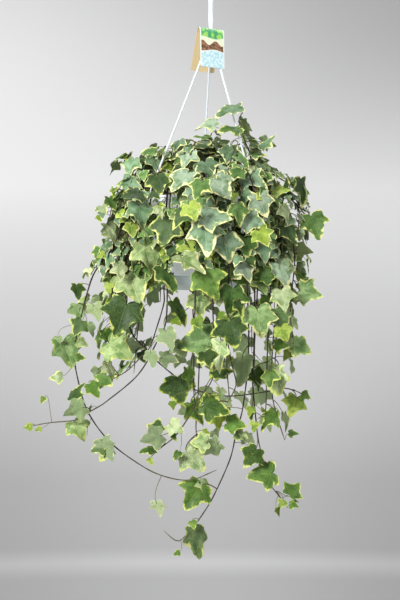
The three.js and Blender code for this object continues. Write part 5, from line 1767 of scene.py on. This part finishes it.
# Plain greys from the floor up: the floor, its far edge, the wall's foot, its middle and its top
GREYS = [(0.0, "909090"), (0.06, "909090"), (0.08, "a0a0a0"), (0.1, "909090"), (0.2, "949494"),
         (0.65, "cacaca"), (1.0, "aaaaaa")]
finish = Finish("studio_paper", IOR=1.3, Specular_IOR_Level=0.2, Emission_Strength=0.75)
place = finish.place()
paper = finish.noise(place, 3, 2)
aside, _, rise = finish.parts(place)
share = (rise - FLOOR_AT * MM) / SEEN_HIGH
stops = {"stops": [(at, screen(text)) for at, text in GREYS]}
shade = finish.add("ShaderNodeValToRGB", stops, {"Fac": share})
# The left is lit more than the right, the more so higher up, and so is the middle of the floor
lit = (finish.step(aside, 1.5, -1.5) - 0.5) * (finish.step(rise, -0.3, 1.0) * 0.6 + 0.07) + 1.03
lit = lit + finish.step(rise, -0.4, -1.1) * finish.step(aside.size(), 1.3, 0.0) * 0.27
shade = finish.stretch(shade, finish.vector(lit, lit, lit))
finish.feed(finish.shader.inputs["Emission Color"], shade)
studio_paper = finish.wear(shade, 0.9 + paper * 0.05)
sheet = bpy.data.objects.new("backdrop", mesh_from("backdrop", backdrop(), [studio_paper]))
bpy.context.scene.collection.objects.link(sheet)
print("wall at", WALL_AT * MM, "m, floor at", FLOOR_AT * MM, "m")

# %% [markdown]
# The light on the plant is soft: a panel high on the left, a wide weak one on the right, one from above
# and one from behind, over an even pale surround. Each panel is turned so that its back looks away from
# the plant, because a lamp shines along its own downward axis.

# %% Light
# Place, width and power in watts
PANELS = {
    "key": ((-1350, -2150, 520), 700, 98),
    "fill": ((1900, -1700, 200), 1600, 7),
    "top": ((300, 300, 1700), 1500, 34),
    "rear": ((900, 2300, 900), 1500, 30),
}
MIDDLE = np.array([-10.0, 0.0, -450.0])


def panel_light(name, place, wide, watts):
    """A square panel that looks at the middle of the plant."""
    place = np.array(place, float)
    data = bpy.data.lights.new(name, "AREA")
    data.shape = "SQUARE"
    data.size = wide * MM
    data.energy = watts
    lamp = bpy.data.objects.new(name, data)
    lamp.location = place * MM
    way = unit(place - MIDDLE)
    side = unit(np.cross([0, 0, 1], way))
    up = np.cross(way, side)
    lamp.rotation_euler = Matrix(np.stack([side, up, way], 1).tolist()).to_euler()
    lamp.visible_camera = False
    bpy.context.scene.collection.objects.link(lamp)


for name, (place, wide, watts) in PANELS.items():
    panel_light(name, place, wide, watts)
world = bpy.data.worlds.new("surround")
world.use_nodes = True
surround = next(node for node in world.node_tree.nodes if node.type == "BACKGROUND")
surround.inputs["Color"].default_value = (0.86, 0.88, 0.9, 1)
surround.inputs["Strength"].default_value = 0.22
bpy.context.scene.world = world
bpy.context.scene.view_settings.view_transform = "Standard"
print("panels:", ", ".join(PANELS))

# %% [markdown]
# The finished pieces may stand a little proud of the solids, and no more.
